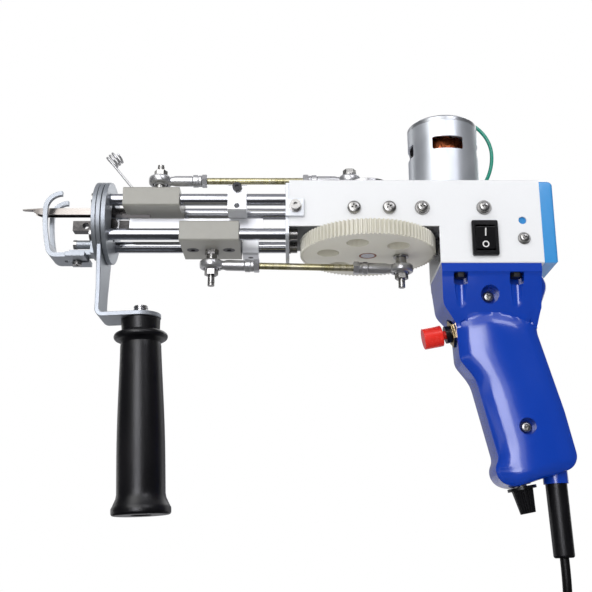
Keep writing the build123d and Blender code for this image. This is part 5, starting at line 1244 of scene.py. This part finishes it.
@dataclass
class Screws:
    """The screws and washers that show, made as sets of one master form."""

    m4_r: float = 0.002
    plain_shank: float = 0.0065
    washed_shank: float = 0.0057
    foot_shank: float = 0.0042
    m4_head_r: float = 0.0039
    m4_head: float = 0.0024
    m4_washer: float = 0.0008
    mount_head_r: float = 0.0032
    m4_washer_r: float = 0.0043
    m3_r: float = 0.0015
    m3_shank: float = 0.0054
    m3_head_r: float = 0.00275
    m3_head: float = 0.002
    m3_washer: float = 0.0006
    m3_washer_r: float = 0.0036
    face_y: float = 0.0225
    side_drop: float = 0.0175
    plain_x: Pair = (-0.0091, 0.0112)
    washed_x: Pair = (0.0301, 0.0656)
    small_at: Pair = (0.0875, 0.0362)
    foot_at: Triple = (0.0472, 0.0145, 0.0267)
    ear_reach: float = 0.0375
    turns: tuple[Pair, Pair] = ((-1, 20.0), (1, 50.0))
    spreads: Triple = (900, 2300, 0)
    dome_steps: int = 6
    dome_power: float = 0.55
    edge_share: float = 0.45
    rim_share: float = 0.3
    seat_share: float = 0.97
    washer_edge: float = 0.2
    recess_share: float = 0.6
    recess_arm: float = 0.58
    recess_half: float = 0.17
    bore_gap: float = 0.0001
    steps: int = 32

    def pan_head(self, head_r: float, head: float, shank_r: float, shank: float, washer_r: float = 0.0,
                 washer: float = 0.0) -> bpy.types.Mesh:
        """A domed screw with a cross recess, its shank below the origin and any washer under its head.

        Args:
            head_r: The head's radius.
            head: Its height.
            shank_r: The shank's radius.
            shank: The shank's length.
            washer_r: The washer's radius.
            washer: The washer's thickness.

        Returns:
            The form.
        """
        edge = head * self.edge_share
        dome = [(head_r * cos(pi / 2 * k / self.dome_steps) ** self.dome_power,
                 washer + edge + (head - edge) * sin(pi / 2 * k / self.dome_steps))
                for k in range(self.dome_steps)]
        profile = [(0.0, -shank), (shank_r, -shank), (shank_r, washer), (head_r * self.seat_share, washer),
                   (head_r, washer + edge * self.rim_share), *dome, (0.0, washer + head)]
        screw = placed("screw_blank", lathe(profile, self.steps, "screw_blank"))
        cutter = placed("recess", self._recess(head_r, washer + head, head * self.recess_share))
        boolean = screw.modifiers.new("recess", "BOOLEAN")
        boolean.object = cutter
        boolean.solver = "EXACT"
        graph = bpy.context.evaluated_depsgraph_get()
        mesh = bpy.data.meshes.new_from_object(screw.evaluated_get(graph))
        bpy.data.objects.remove(screw)
        bpy.data.objects.remove(cutter)
        if washer_r:
            form = bmesh.new()
            form.from_mesh(mesh)
            bore_r = shank_r + self.bore_gap
            cut = washer * self.washer_edge
            ring = lathe([(bore_r, 0.0), (washer_r, 0.0), (washer_r, washer - cut), (washer_r - cut, washer),
                          (bore_r, washer), (bore_r, 0.0)], self.steps, "washer")
            form.from_mesh(ring)
            bmesh.ops.remove_doubles(form, verts=form.verts, dist=MERGE_DISTANCE)
            form.to_mesh(mesh)
            form.free()
        smooth(mesh)
        return mesh

    def _recess(self, head_r: float, top: float, depth: float) -> bpy.types.Mesh:
        """A tapered cross that is cut into a screw's head.

        Args:
            head_r: The head's radius.
            top: The head's height above the origin.
            depth: The recess's depth.

        Returns:
            The cutter.
        """
        arm = head_r * self.recess_arm
        half = head_r * self.recess_half
        form = bmesh.new()
        outline = [(half, half), (half, arm), (-half, arm), (-half, half), (-arm, half), (-arm, -half),
                   (-half, -half), (-half, -arm), (half, -arm), (half, -half), (arm, -half), (arm, half)]
        above = [form.verts.new((x, y, top + depth)) for x, y in outline]
        taper = self.recess_share
        below = [form.verts.new((x * taper, y * taper, top - depth)) for x, y in outline]
        form.faces.new(above)
        form.faces.new(list(reversed(below)))
        for k in range(len(outline)):
            after = (k + 1) % len(outline)
            form.faces.new((above[k], below[k], below[after], above[after]))
        bmesh.ops.recalc_face_normals(form, faces=form.faces)
        return as_mesh(form, "recess", False)

    def build(self, shop: Shop, patterns: Patterns) -> None:
        """Makes the housing's screws.

        Args:
            shop: The shop.
            patterns: The geometry node trees.
        """
        plain = self.pan_head(self.m4_head_r, self.m4_head, self.m4_r, self.plain_shank)
        washed = self.pan_head(self.mount_head_r, self.m4_head, self.m4_r, self.washed_shank,
                               self.m4_washer_r, self.m4_washer)
        small = self.pan_head(self.m3_head_r, self.m3_head, self.m3_r, self.m3_shank, self.m3_washer_r,
                              self.m3_washer)
        foot = self.pan_head(self.m4_head_r, self.m4_head, self.m4_r, self.foot_shank)
        material = shop.materials["steel_screw"]
        sets = (("side_screws", self.plain_x, self.side_drop),
                ("washer_screws", self.washed_x, self.side_drop),
                ("cover_screws", self.small_at[:1], self.small_at[1]))
        rows = {name: [(fit_point(x, side * self.face_y, drop), Vector((0, side, 0)), turn + spread * x)
                       for side, turn in self.turns for x in along]
                for (name, along, drop), spread in zip(sets, self.spreads)}
        foot_x, foot_y, foot_drop = self.foot_at
        rows["motor_foot_screws"] = [(fit_point(foot_x, side * foot_y, foot_drop), Vector((0, 0, -1)), turn)
                                     for side, turn in self.turns]
        form = bmesh.new()
        form.from_mesh(shop.merged("housing_screws", False))
        far = [v for v in form.verts if v.co.x > GEAR_X - self.ear_reach]
        bmesh.ops.delete(form, geom=far, context="VERTS")
        ears = as_mesh(form, "ear_screws")
        shop.add("ear_screws", ears, "machine_frame", "steel_screw", ["housing_screws"])
        for (name, places), master in zip(rows.items(), (plain, washed, small, foot)):
            shop.add(name, patterns.copies(name, master, places, material), "machine_frame", "steel_screw")


@dataclass
class BoxAndGrip:
    """The square housing, its rear cover and front plate, and the two halves of the rear grip."""

    paint_edge: float = 0.0003
    cover_edge: float = 0.0004
    screws: tuple[Triple, ...] = ((-0.0146, -0.011, 0.0462), (0.0019, -0.011, -0.0283))
    screw_head_r: float = 0.0031
    screw_head: float = 0.002
    screw_r: float = 0.0015
    screw_length: float = 0.019
    screw_turns: Pair = (35.0, 95.0)
    bolt_level: float = 0.05

    def build(self, shop: Shop, patterns: Patterns) -> None:
        """Makes the pieces.

        Args:
            shop: The shop.
            patterns: The geometry node trees.
        """
        shop.dress("housing", "painted_housing", self.paint_edge)
        shop.dress("rear_cover", "moulded_rear_cover", self.cover_edge)
        shop.dress("front_plate", "plated_front_plate", self.paint_edge, shop.materials["bright_plate"])
        palm = PalmGrip()
        for node, name in (("grip_left", "far_grip_half"), ("grip_right", "near_grip_half")):
            shop.add(name, palm.crowned(shop.merged(node)), "machine_frame", "blue_plastic", [node])
        shop.split("grip_screws", {"grip_bolts": ("black_screw", lambda at: at.z > self.bolt_level)})
        master = Screws().pan_head(self.screw_head_r, self.screw_head, self.screw_r, self.screw_length)
        places = [(Vector(at), Vector((0, -1, 0)), turn) for at, turn in zip(self.screws, self.screw_turns)]
        copies = patterns.copies("grip_cross_screws", master, places, shop.materials["steel_screw"])
        shop.add("grip_cross_screws", copies, "machine_frame", "steel_screw", ["grip_screws"])


@dataclass
class PalmGrip:
    """The crowned sides of the rear grip, with the palm swell's curved top."""

    step: float = 0.0024
    flat_half: float = 0.016
    inner_half: float = 0.0092
    slope_top: float = 0.0572
    slope_top_half: float = 0.0208
    slope_low: float = 0.028
    slope_low_half: float = 0.014
    crease: float = 0.0355
    crease_sag: float = 0.006
    neck_half: float = 0.0136
    crease_depth: float = 0.14
    crease_width: float = 0.003
    crown: float = 0.28
    soften: float = 0.003
    soften_steps: int = 3
    dice_x: Pair = (-0.044, 0.032)
    dice_z: Pair = (-0.062, 0.056)
    dice_gap: float = 1e-6
    rows: tuple[Triple, ...] = (
        (0.0632, -0.0422, 0.0155), (0.041, -0.0411, 0.0135), (0.0305, -0.0334, 0.0122),
        (0.010, -0.0324, 0.0166), (-0.001, -0.024, 0.0195), (-0.045, -0.0138, 0.0298),
        (-0.056, -0.0188, 0.028), (-0.0606, -0.0055, 0.012))

    def across(self, x: float, z: float) -> float:
        """How far a place lies from the grip's middle line, as a share of its half width.

        Args:
            x: The place along X.
            z: The place along Z.

        Returns:
            The share, from -1 at the front to 1 at the rear.
        """
        front = rear = 0.0
        levels = [z + self.soften * k for k in range(-self.soften_steps, self.soften_steps + 1)]
        for level in levels:
            upper, lower = next(((a, b) for a, b in zip(self.rows, self.rows[1:]) if a[0] >= level >= b[0]),
                                self.rows[-2:] if level < z else self.rows[:2])
            share = min(max((upper[0] - level) / (upper[0] - lower[0]), 0.0), 1.0)
            front += (upper[1] + (lower[1] - upper[1]) * share) / len(levels)
            rear += (upper[2] + (lower[2] - upper[2]) * share) / len(levels)
        return min(max((2 * x - front - rear) / (rear - front), -1.0), 1.0)

    def half_thickness(self, x: float, z: float) -> float:
        """The crowned side's distance from the middle plane.

        Args:
            x: The place along X.
            z: The place along Z.

        Returns:
            The distance.
        """
        share = self.across(x, z)
        top = self.crease - self.crease_sag * share * share
        if z > top:
            rise = (self.slope_top_half - self.neck_half) / (self.slope_top - self.crease)
            return self.neck_half + (z - self.crease) * rise
        swell = self.flat_half * (1 - self.crown * share * share)
        return swell * (1 - self.crease_depth * exp((z - top) / self.crease_width))

    def crowned(self, mesh: bpy.types.Mesh) -> bpy.types.Mesh:
        """A grip half's own form, diced and then crowned.

        Args:
            mesh: The half.

        Returns:
            The new mesh.
        """
        form = bmesh.new()
        form.from_mesh(mesh)
        for axis, (low, high) in ((Vector((1, 0, 0)), self.dice_x), (Vector((0, 0, 1)), self.dice_z)):
            for k in range(int((high - low) / self.step) + 1):
                bmesh.ops.bisect_plane(form, geom=[*form.verts, *form.edges, *form.faces], dist=self.dice_gap,
                                       plane_co=axis * (low + self.step * k), plane_no=axis)
        slope = (self.slope_top_half - self.slope_low_half) / (self.slope_top - self.slope_low)
        for vert in form.verts:
            x, y, z = vert.co
            if abs(y) <= self.inner_half or z > self.slope_top:
                continue
            drawn = max(self.flat_half, self.slope_low_half + (z - self.slope_low) * slope)
            ratio = (self.half_thickness(x, z) - self.inner_half) / (drawn - self.inner_half)
            side = 1 if y > 0 else -1
            vert.co.y = side * (self.inner_half + (abs(y) - self.inner_half) * ratio)
        return as_mesh(form, mesh.name + "_crowned")


@dataclass
class Controls:
    """The power switch with its generic on and off marks, the red button and the speed knob."""

    switch_at: Triple = (-0.0169, -0.0225, 0.0777)
    tilt: float = 10.0
    mark_depth: float = 0.00012
    bar_mid: float = 0.0034
    bar_half: float = 0.0022
    bar_width: float = 0.00033
    bar_inner: Pair = (0.02, 0.9)
    ring_mid: float = -0.0036
    ring_r: float = 0.0016
    ring_width: float = 0.00032
    ring_steps: int = 32
    pivot_gap: float = 0.0002
    crown: float = 0.003
    valley: float = 0.0022
    half: float = 0.0069
    pieces: tuple[PieceRow, ...] = (
        ("button_cap", "red_button_cap", 0.0), ("button_nut", "plated_button_nut", 0.00025),
        ("button_bush", "button_collar", 0.0), ("speed_knob", "fluted_speed_knob", 0.0),
        ("speed_pot", "speed_control", 0.0))

    def _on_face(self, across: float, along: float, lift: float) -> Vector:
        """A place on the rocker's hollow face.

        Args:
            across: The distance from its middle, towards the rear.
            along: The distance up from its pivot.
            lift: The height above its face.

        Returns:
            The point.
        """
        tilt = radians(self.tilt)
        pivot = Vector(self.switch_at) + Vector((0, -self.pivot_gap, 0))
        out = Vector((0, -cos(tilt), -sin(tilt)))
        up = Vector((0, -sin(tilt), cos(tilt)))
        rise = self.valley + (self.crown - self.valley) * abs(along) / self.half
        return pivot + Vector((across, 0, 0)) + out * (rise + lift) + up * along

    def marks(self) -> bpy.types.Mesh:
        """The bar for on and the ring for off, as raised paint."""
        form = bmesh.new()

        def strip(outline: list[Pair], inner: list[Pair]) -> None:
            """A closed band between two outlines with the same count of points.

            Args:
                outline: The outer points, (across, along).
                inner: The inner points.
            """
            rings = [[form.verts.new(self._on_face(x, z, lift)) for x, z in line]
                     for line, lift in ((outline, -self.mark_depth), (outline, self.mark_depth),
                                        (inner, self.mark_depth), (inner, -self.mark_depth))]
            rings.append(rings[0])
            for low, high in zip(rings, rings[1:]):
                for k in range(len(low)):
                    after = (k + 1) % len(low)
                    form.faces.new((low[k], low[after], high[after], high[k]))

        mid, half, width = self.bar_mid, self.bar_half, self.bar_width
        outer = [(-width, mid - half), (width, mid - half), (width, mid + half), (-width, mid + half)]
        thin, short = self.bar_inner
        strip(outer, [(x * thin, mid + (z - mid) * short) for x, z in outer])
        angles = [2 * pi * k / self.ring_steps for k in range(self.ring_steps)]
        rims = [[(r * cos(angle), self.ring_mid + r * sin(angle)) for angle in angles]
                for r in (self.ring_r + self.ring_width, self.ring_r - self.ring_width)]
        strip(*rims)
        bmesh.ops.recalc_face_normals(form, faces=form.faces)
        return as_mesh(form, "switch_marks", False)

    def build(self, shop: Shop) -> None:
        """Makes the controls.

        Args:
            shop: The shop.
        """
        shop.dress_rows((("switch_body", "switch_bezel", 0.0003), ("rocker", "rocker_key", 0.0002)))
        shop.add("switch_marks", self.marks(), "rocker", "black_plastic", material=shop.mark_material)
        shop.dress_rows(self.pieces)


@dataclass
class MotorUnit:
    """The motor can, its cap, the earth wire and the copper windings that show in the windows."""

    motor_x: float = -0.0348
    winding_z: float = 0.1285
    under_z: float = 0.1025
    core_r: float = 0.0137
    reach: float = 0.0078
    slots: int = 12
    wires: int = 8
    wire_r: float = 0.00042
    rises: Pair = (0.0345, 0.014)
    pieces: tuple[PieceRow, ...] = (
        ("motor_can", "plated_motor_can", 0.0), ("motor_cap", "pressed_motor_cap", 0.0002),
        ("earth_wire", "green_earth_wire", 0.0))

    def build(self, shop: Shop, patterns: Patterns) -> None:
        """Makes the motor's pieces.

        Args:
            shop: The shop.
            patterns: The geometry node trees.
        """
        shop.dress_rows(self.pieces)
        form = bmesh.new()
        for z, way, rise in ((self.winding_z, 1, self.rises[0]), (self.under_z, -1, self.rises[1])):
            mesh = patterns.winding.run("wound_copper", {
                "Slots": self.slots, "Wires": self.wires, "Core": self.core_r, "Reach": self.reach,
                "Rise": rise, "Wire": self.wire_r, "Material": shop.materials["copper"]})
            mesh.transform(standing(Vector((self.motor_x, 0, z)), Vector((0, 0, way))))
            form.from_mesh(mesh)
        joined = as_mesh(form, "wound_copper")
        shop.add("wound_copper", joined, "rotor", "copper")
        shop.dress("windings", "winding_heads")
        shop.dress("armature", "laminated_armature")


@dataclass
class RodFrame:
    """The guide rods, the discs of the nose, the presser foot and the stop blocks."""

    pieces: tuple[PieceRow, ...] = (
        ("guide_rods", "polished_guide_rods", 0.0), ("rear_disc", "plated_rear_disc", 0.0003),
        ("front_disc", "plated_front_disc", 0.0003), ("nose_screws", "nose_screw_set", 0.0),
        ("presser_foot", "bent_presser_foot", 0.0005), ("foot_post", "foot_post_block", 0.0002),
        ("cutter_guide", "black_cutter_guide", 0.0002), ("stop_blocks", "stop_block_pair", 0.0002),
        ("stop_screws", "stop_screw_pair", 0.0))

    def build(self, shop: Shop) -> None:
        """Makes the pieces.

        Args:
            shop: The shop.
        """
        shop.dress_rows(self.pieces)


@dataclass
class Carriages:
    """The needle carriage and the scissors carriage, with their moulded sliders."""

    upper_pin: Triple = (-0.2066, 0.0, 0.12905)
    lower_pin: Triple = (-0.1744, 0.0, 0.0566)
    pin_zone: float = 0.006
    thread_r: float = 0.0019
    pitch: float = 0.0007
    upper_threaded: float = 0.0028
    lower_threaded: float = 0.0060
    pieces: tuple[PieceRow, ...] = (
        ("needle_slider", "moulded_needle_slider", 0.0006), ("needle", "hollow_needle", 0.0001),
        ("needle_slider_bolts", "needle_slider_pins", 0.0), ("yarn_guide", "wire_yarn_guide", 0.0),
        ("scissors_slider", "moulded_scissors_slider", 0.0006),
        ("scissors_bar", "scissors_bar_stock", 0.0002),
        ("fixed_blade", "fixed_scissors_blade", 0.0), ("moving_blade", "moving_scissors_blade", 0.0))

    def build(self, shop: Shop, patterns: Patterns) -> None:
        """Makes the pieces.

        Args:
            shop: The shop.
            patterns: The geometry node trees.
        """
        shop.dress_rows(self.pieces)
        shop.split("scissors_slider_bolts", {
            "bar_socket_screws": ("black_screw", lambda at: abs(at.x - self.lower_pin[0]) > self.pin_zone),
            "scissors_link_pin": ("steel_screw", lambda at: abs(at.x - self.lower_pin[0]) <= self.pin_zone)})
        for name, start, length, body in (
                ("scissors_pin_thread", self.lower_pin, self.lower_threaded, "scissors_carriage"),
                ("needle_pin_thread", self.upper_pin, self.upper_threaded, "needle_carriage")):
            thread = patterns.threads(name, shop, "steel_screw", Vector(start), Vector((0, 0, 1)),
                                      self.thread_r, length, self.pitch)
            shop.add(name, thread, body, "steel_screw")


@dataclass
class RodEnd:
    """A ball-jointed rod end: its eye, ball, barrel and collar, and the lock nut behind it."""

    eye_r: float = 0.007
    seat_r: float = 0.0047
    eye_half: float = 0.0024
    ball_r: float = 0.0046
    ball_half: float = 0.0031
    bore_r: float = 0.0021
    barrel_r: float = 0.0032
    barrel_from: float = 0.0052
    barrel_neck: float = 0.0072
    barrel_full: float = 0.0092
    barrel_end: float = 0.025
    cut: float = 0.0003
    neck_cut: float = 0.0005
    rim: float = 0.0002
    collar_r: float = 0.0038
    collar_at: float = 0.0198
    collar_length: float = 0.003
    collar_cut: float = 0.0004
    nut_r: float = 0.00404
    nut_height: float = 0.0032
    nut_gap: float = 0.0001
    nut_cut: float = 0.0004
    nut_sides: int = 6
    lip: float = 0.0013
    ball_steps: int = 6
    steps: int = 40

    def ring(self) -> bpy.types.Mesh:
        """The rounded eye, about Z."""
        half, lip = self.eye_half, self.lip
        outer = [(self.eye_r - lip + lip * cos(radians(a)), side * (half - lip + lip * abs(sin(radians(a)))))
                 for side, angles in ((-1, (-90, -60, -30, 0)), (1, (0, 30, 60, 90))) for a in angles]
        return lathe([(self.seat_r, -half), *outer, (self.seat_r, half), (self.seat_r, -half)],
                     self.steps, "eye")

    def ball(self) -> bpy.types.Mesh:
        """The bored ball, about Z."""
        tilt = acos(sqrt(1 - (self.ball_half / self.ball_r) ** 2))
        angles = [tilt * k / self.ball_steps for k in range(-self.ball_steps, self.ball_steps + 1)]
        arc = [(self.ball_r * cos(angle), self.ball_r * sin(angle)) for angle in angles]
        return lathe([(self.bore_r, -self.ball_half), *arc, (self.bore_r, self.ball_half),
                      (self.bore_r, -self.ball_half)], self.steps, "ball")

    def barrel(self) -> bpy.types.Mesh:
        """The barrel and its collar, along Z from the eye."""
        r, c, at, end = self.barrel_r, self.collar_r, self.collar_at, self.barrel_end
        cut, rim, start, far = self.cut, self.rim, self.barrel_from, at + self.collar_length
        return lathe([(0.0, start), (r - cut, start), (r - self.neck_cut, self.barrel_neck),
                      (r, self.barrel_full), (r, at - self.neck_cut), (r - cut, at - rim), (c - cut, at),
                      (c, at + cut), (c, far), (c - self.collar_cut, far + self.collar_cut),
                      (r + cut, far + self.collar_cut + rim), (r + cut, end - rim), (r, end), (0.0, end)],
                     self.steps, "barrel")

    def nut(self) -> bpy.types.Mesh:
        """The lock nut, a hexagon with eased ends, along Z."""
        r, cut, low = self.nut_r, self.nut_cut, self.barrel_end + self.nut_gap
        high = low + self.nut_height
        return lathe([(0.0, low), (r - cut, low), (r, low + cut), (r, high - cut), (r - cut, high),
                      (0.0, high)], self.nut_sides, "lock_nut")

    def build(self, centre: Vector, way: Vector) -> bpy.types.Mesh:
        """The whole rod end in place.

        Args:
            centre: The middle of its eye.
            way: The direction of its barrel.

        Returns:
            The mesh.
        """
        form = bmesh.new()
        upright, along = Matrix.Translation(centre), standing(centre, way)
        for mesh, place in ((self.ring(), upright), (self.ball(), upright), (self.barrel(), along),
                            (self.nut(), along)):
            mesh.transform(place)
            form.from_mesh(mesh)
        bmesh.ops.remove_doubles(form, verts=form.verts, dist=MERGE_DISTANCE)
        return as_mesh(form, "rod_end", False)


@dataclass
class Links:
    """The two connecting rods, their rod ends and their threaded ends."""

    rod_r: float = 0.002
    pitch: float = 0.0007
    threaded: float = 0.019
    thread_depth: float = 0.0001
    upper_ends: tuple[Triple, Triple] = ((-0.2066, 0.0, 0.1226), (-0.092, 0.0, 0.1226))
    lower_ends: tuple[Triple, Triple] = ((-0.1744, 0.0, 0.0692), (-0.0624, 0.0, 0.0667))
    barrel_end: float = 0.0283
    bolt_edge: float = 0.0002

    def build(self, shop: Shop, patterns: Patterns) -> None:
        """Makes the rods.

        Args:
            shop: The shop.
            patterns: The geometry node trees.
        """
        end = RodEnd()
        for side, ends in (("upper", self.upper_ends), ("lower", self.lower_ends)):
            body = side + "_link"
            shop.dress(side + "_rod", side + "_plated_rod")
            shop.dress(side + "_crank_bolt", side + "_crank_screw", self.bolt_edge)
            joints, threads = bmesh.new(), bmesh.new()
            for near, far in ((ends[0], ends[1]), (ends[1], ends[0])):
                start = Vector(near)
                way = (Vector(far) - start).normalized()
                thread = patterns.threads(side + "_rod_thread", shop, "yellow_zinc",
                                          start + way * self.barrel_end, way,
                                          self.rod_r - self.thread_depth, self.threaded, self.pitch)
                threads.from_mesh(thread)
                joints.from_mesh(end.build(start, way))
            for form, name, slot, nodes, material in (
                    (joints, side + "_ball_ends", "nickel", [side + "_rod_ends"], None),
                    (threads, side + "_rod_threads", "yellow_zinc", [], shop.thread_material)):
                shop.add(name, as_mesh(form, name), body, slot, nodes, material)


@dataclass
class DriveTrain:
    """The big gear, the pinion, their shaft, the cranks and the block that carries them."""

    pieces: tuple[PieceRow, ...] = (
        ("drive_gear", "moulded_drive_gear", 0.0), ("gear_bush", "bronze_gear_bush", 0.0),
        ("gear_shaft", "turned_gear_shaft", 0.0), ("top_crank", "turned_top_crank", 0.0003),
        ("bearing_block", "milled_bearing_block", 0.0002), ("motor_mount", "milled_motor_mount", 0.0002),
        ("pinion", "steel_pinion", 0.0), ("shaft_bearings", "ball_bearings", 0.0),
        ("speed_board", "speed_circuit", 0.0))

    def build(self, shop: Shop) -> None:
        """Makes the pieces.

        Args:
            shop: The shop.
        """
        shop.dress_rows(self.pieces)


def main() -> None:
    """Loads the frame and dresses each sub-assembly."""
    logging.basicConfig(level=logging.INFO, format="%(name)s %(message)s")
    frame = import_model()
    shop = Shop(frame)
    patterns = Patterns()
    Studio().build()
    MainsLead().build(shop)
    BoxAndGrip().build(shop, patterns)
    Screws().build(shop, patterns)
    RodFrame().build(shop)
    DriveTrain().build(shop)
    MotorUnit().build(shop, patterns)
    Carriages().build(shop, patterns)
    Links().build(shop, patterns)
    SideHandle().build(shop, patterns)
    Controls().build(shop)
    shop.paint_nodes()


if __name__ == "__main__":
    main()
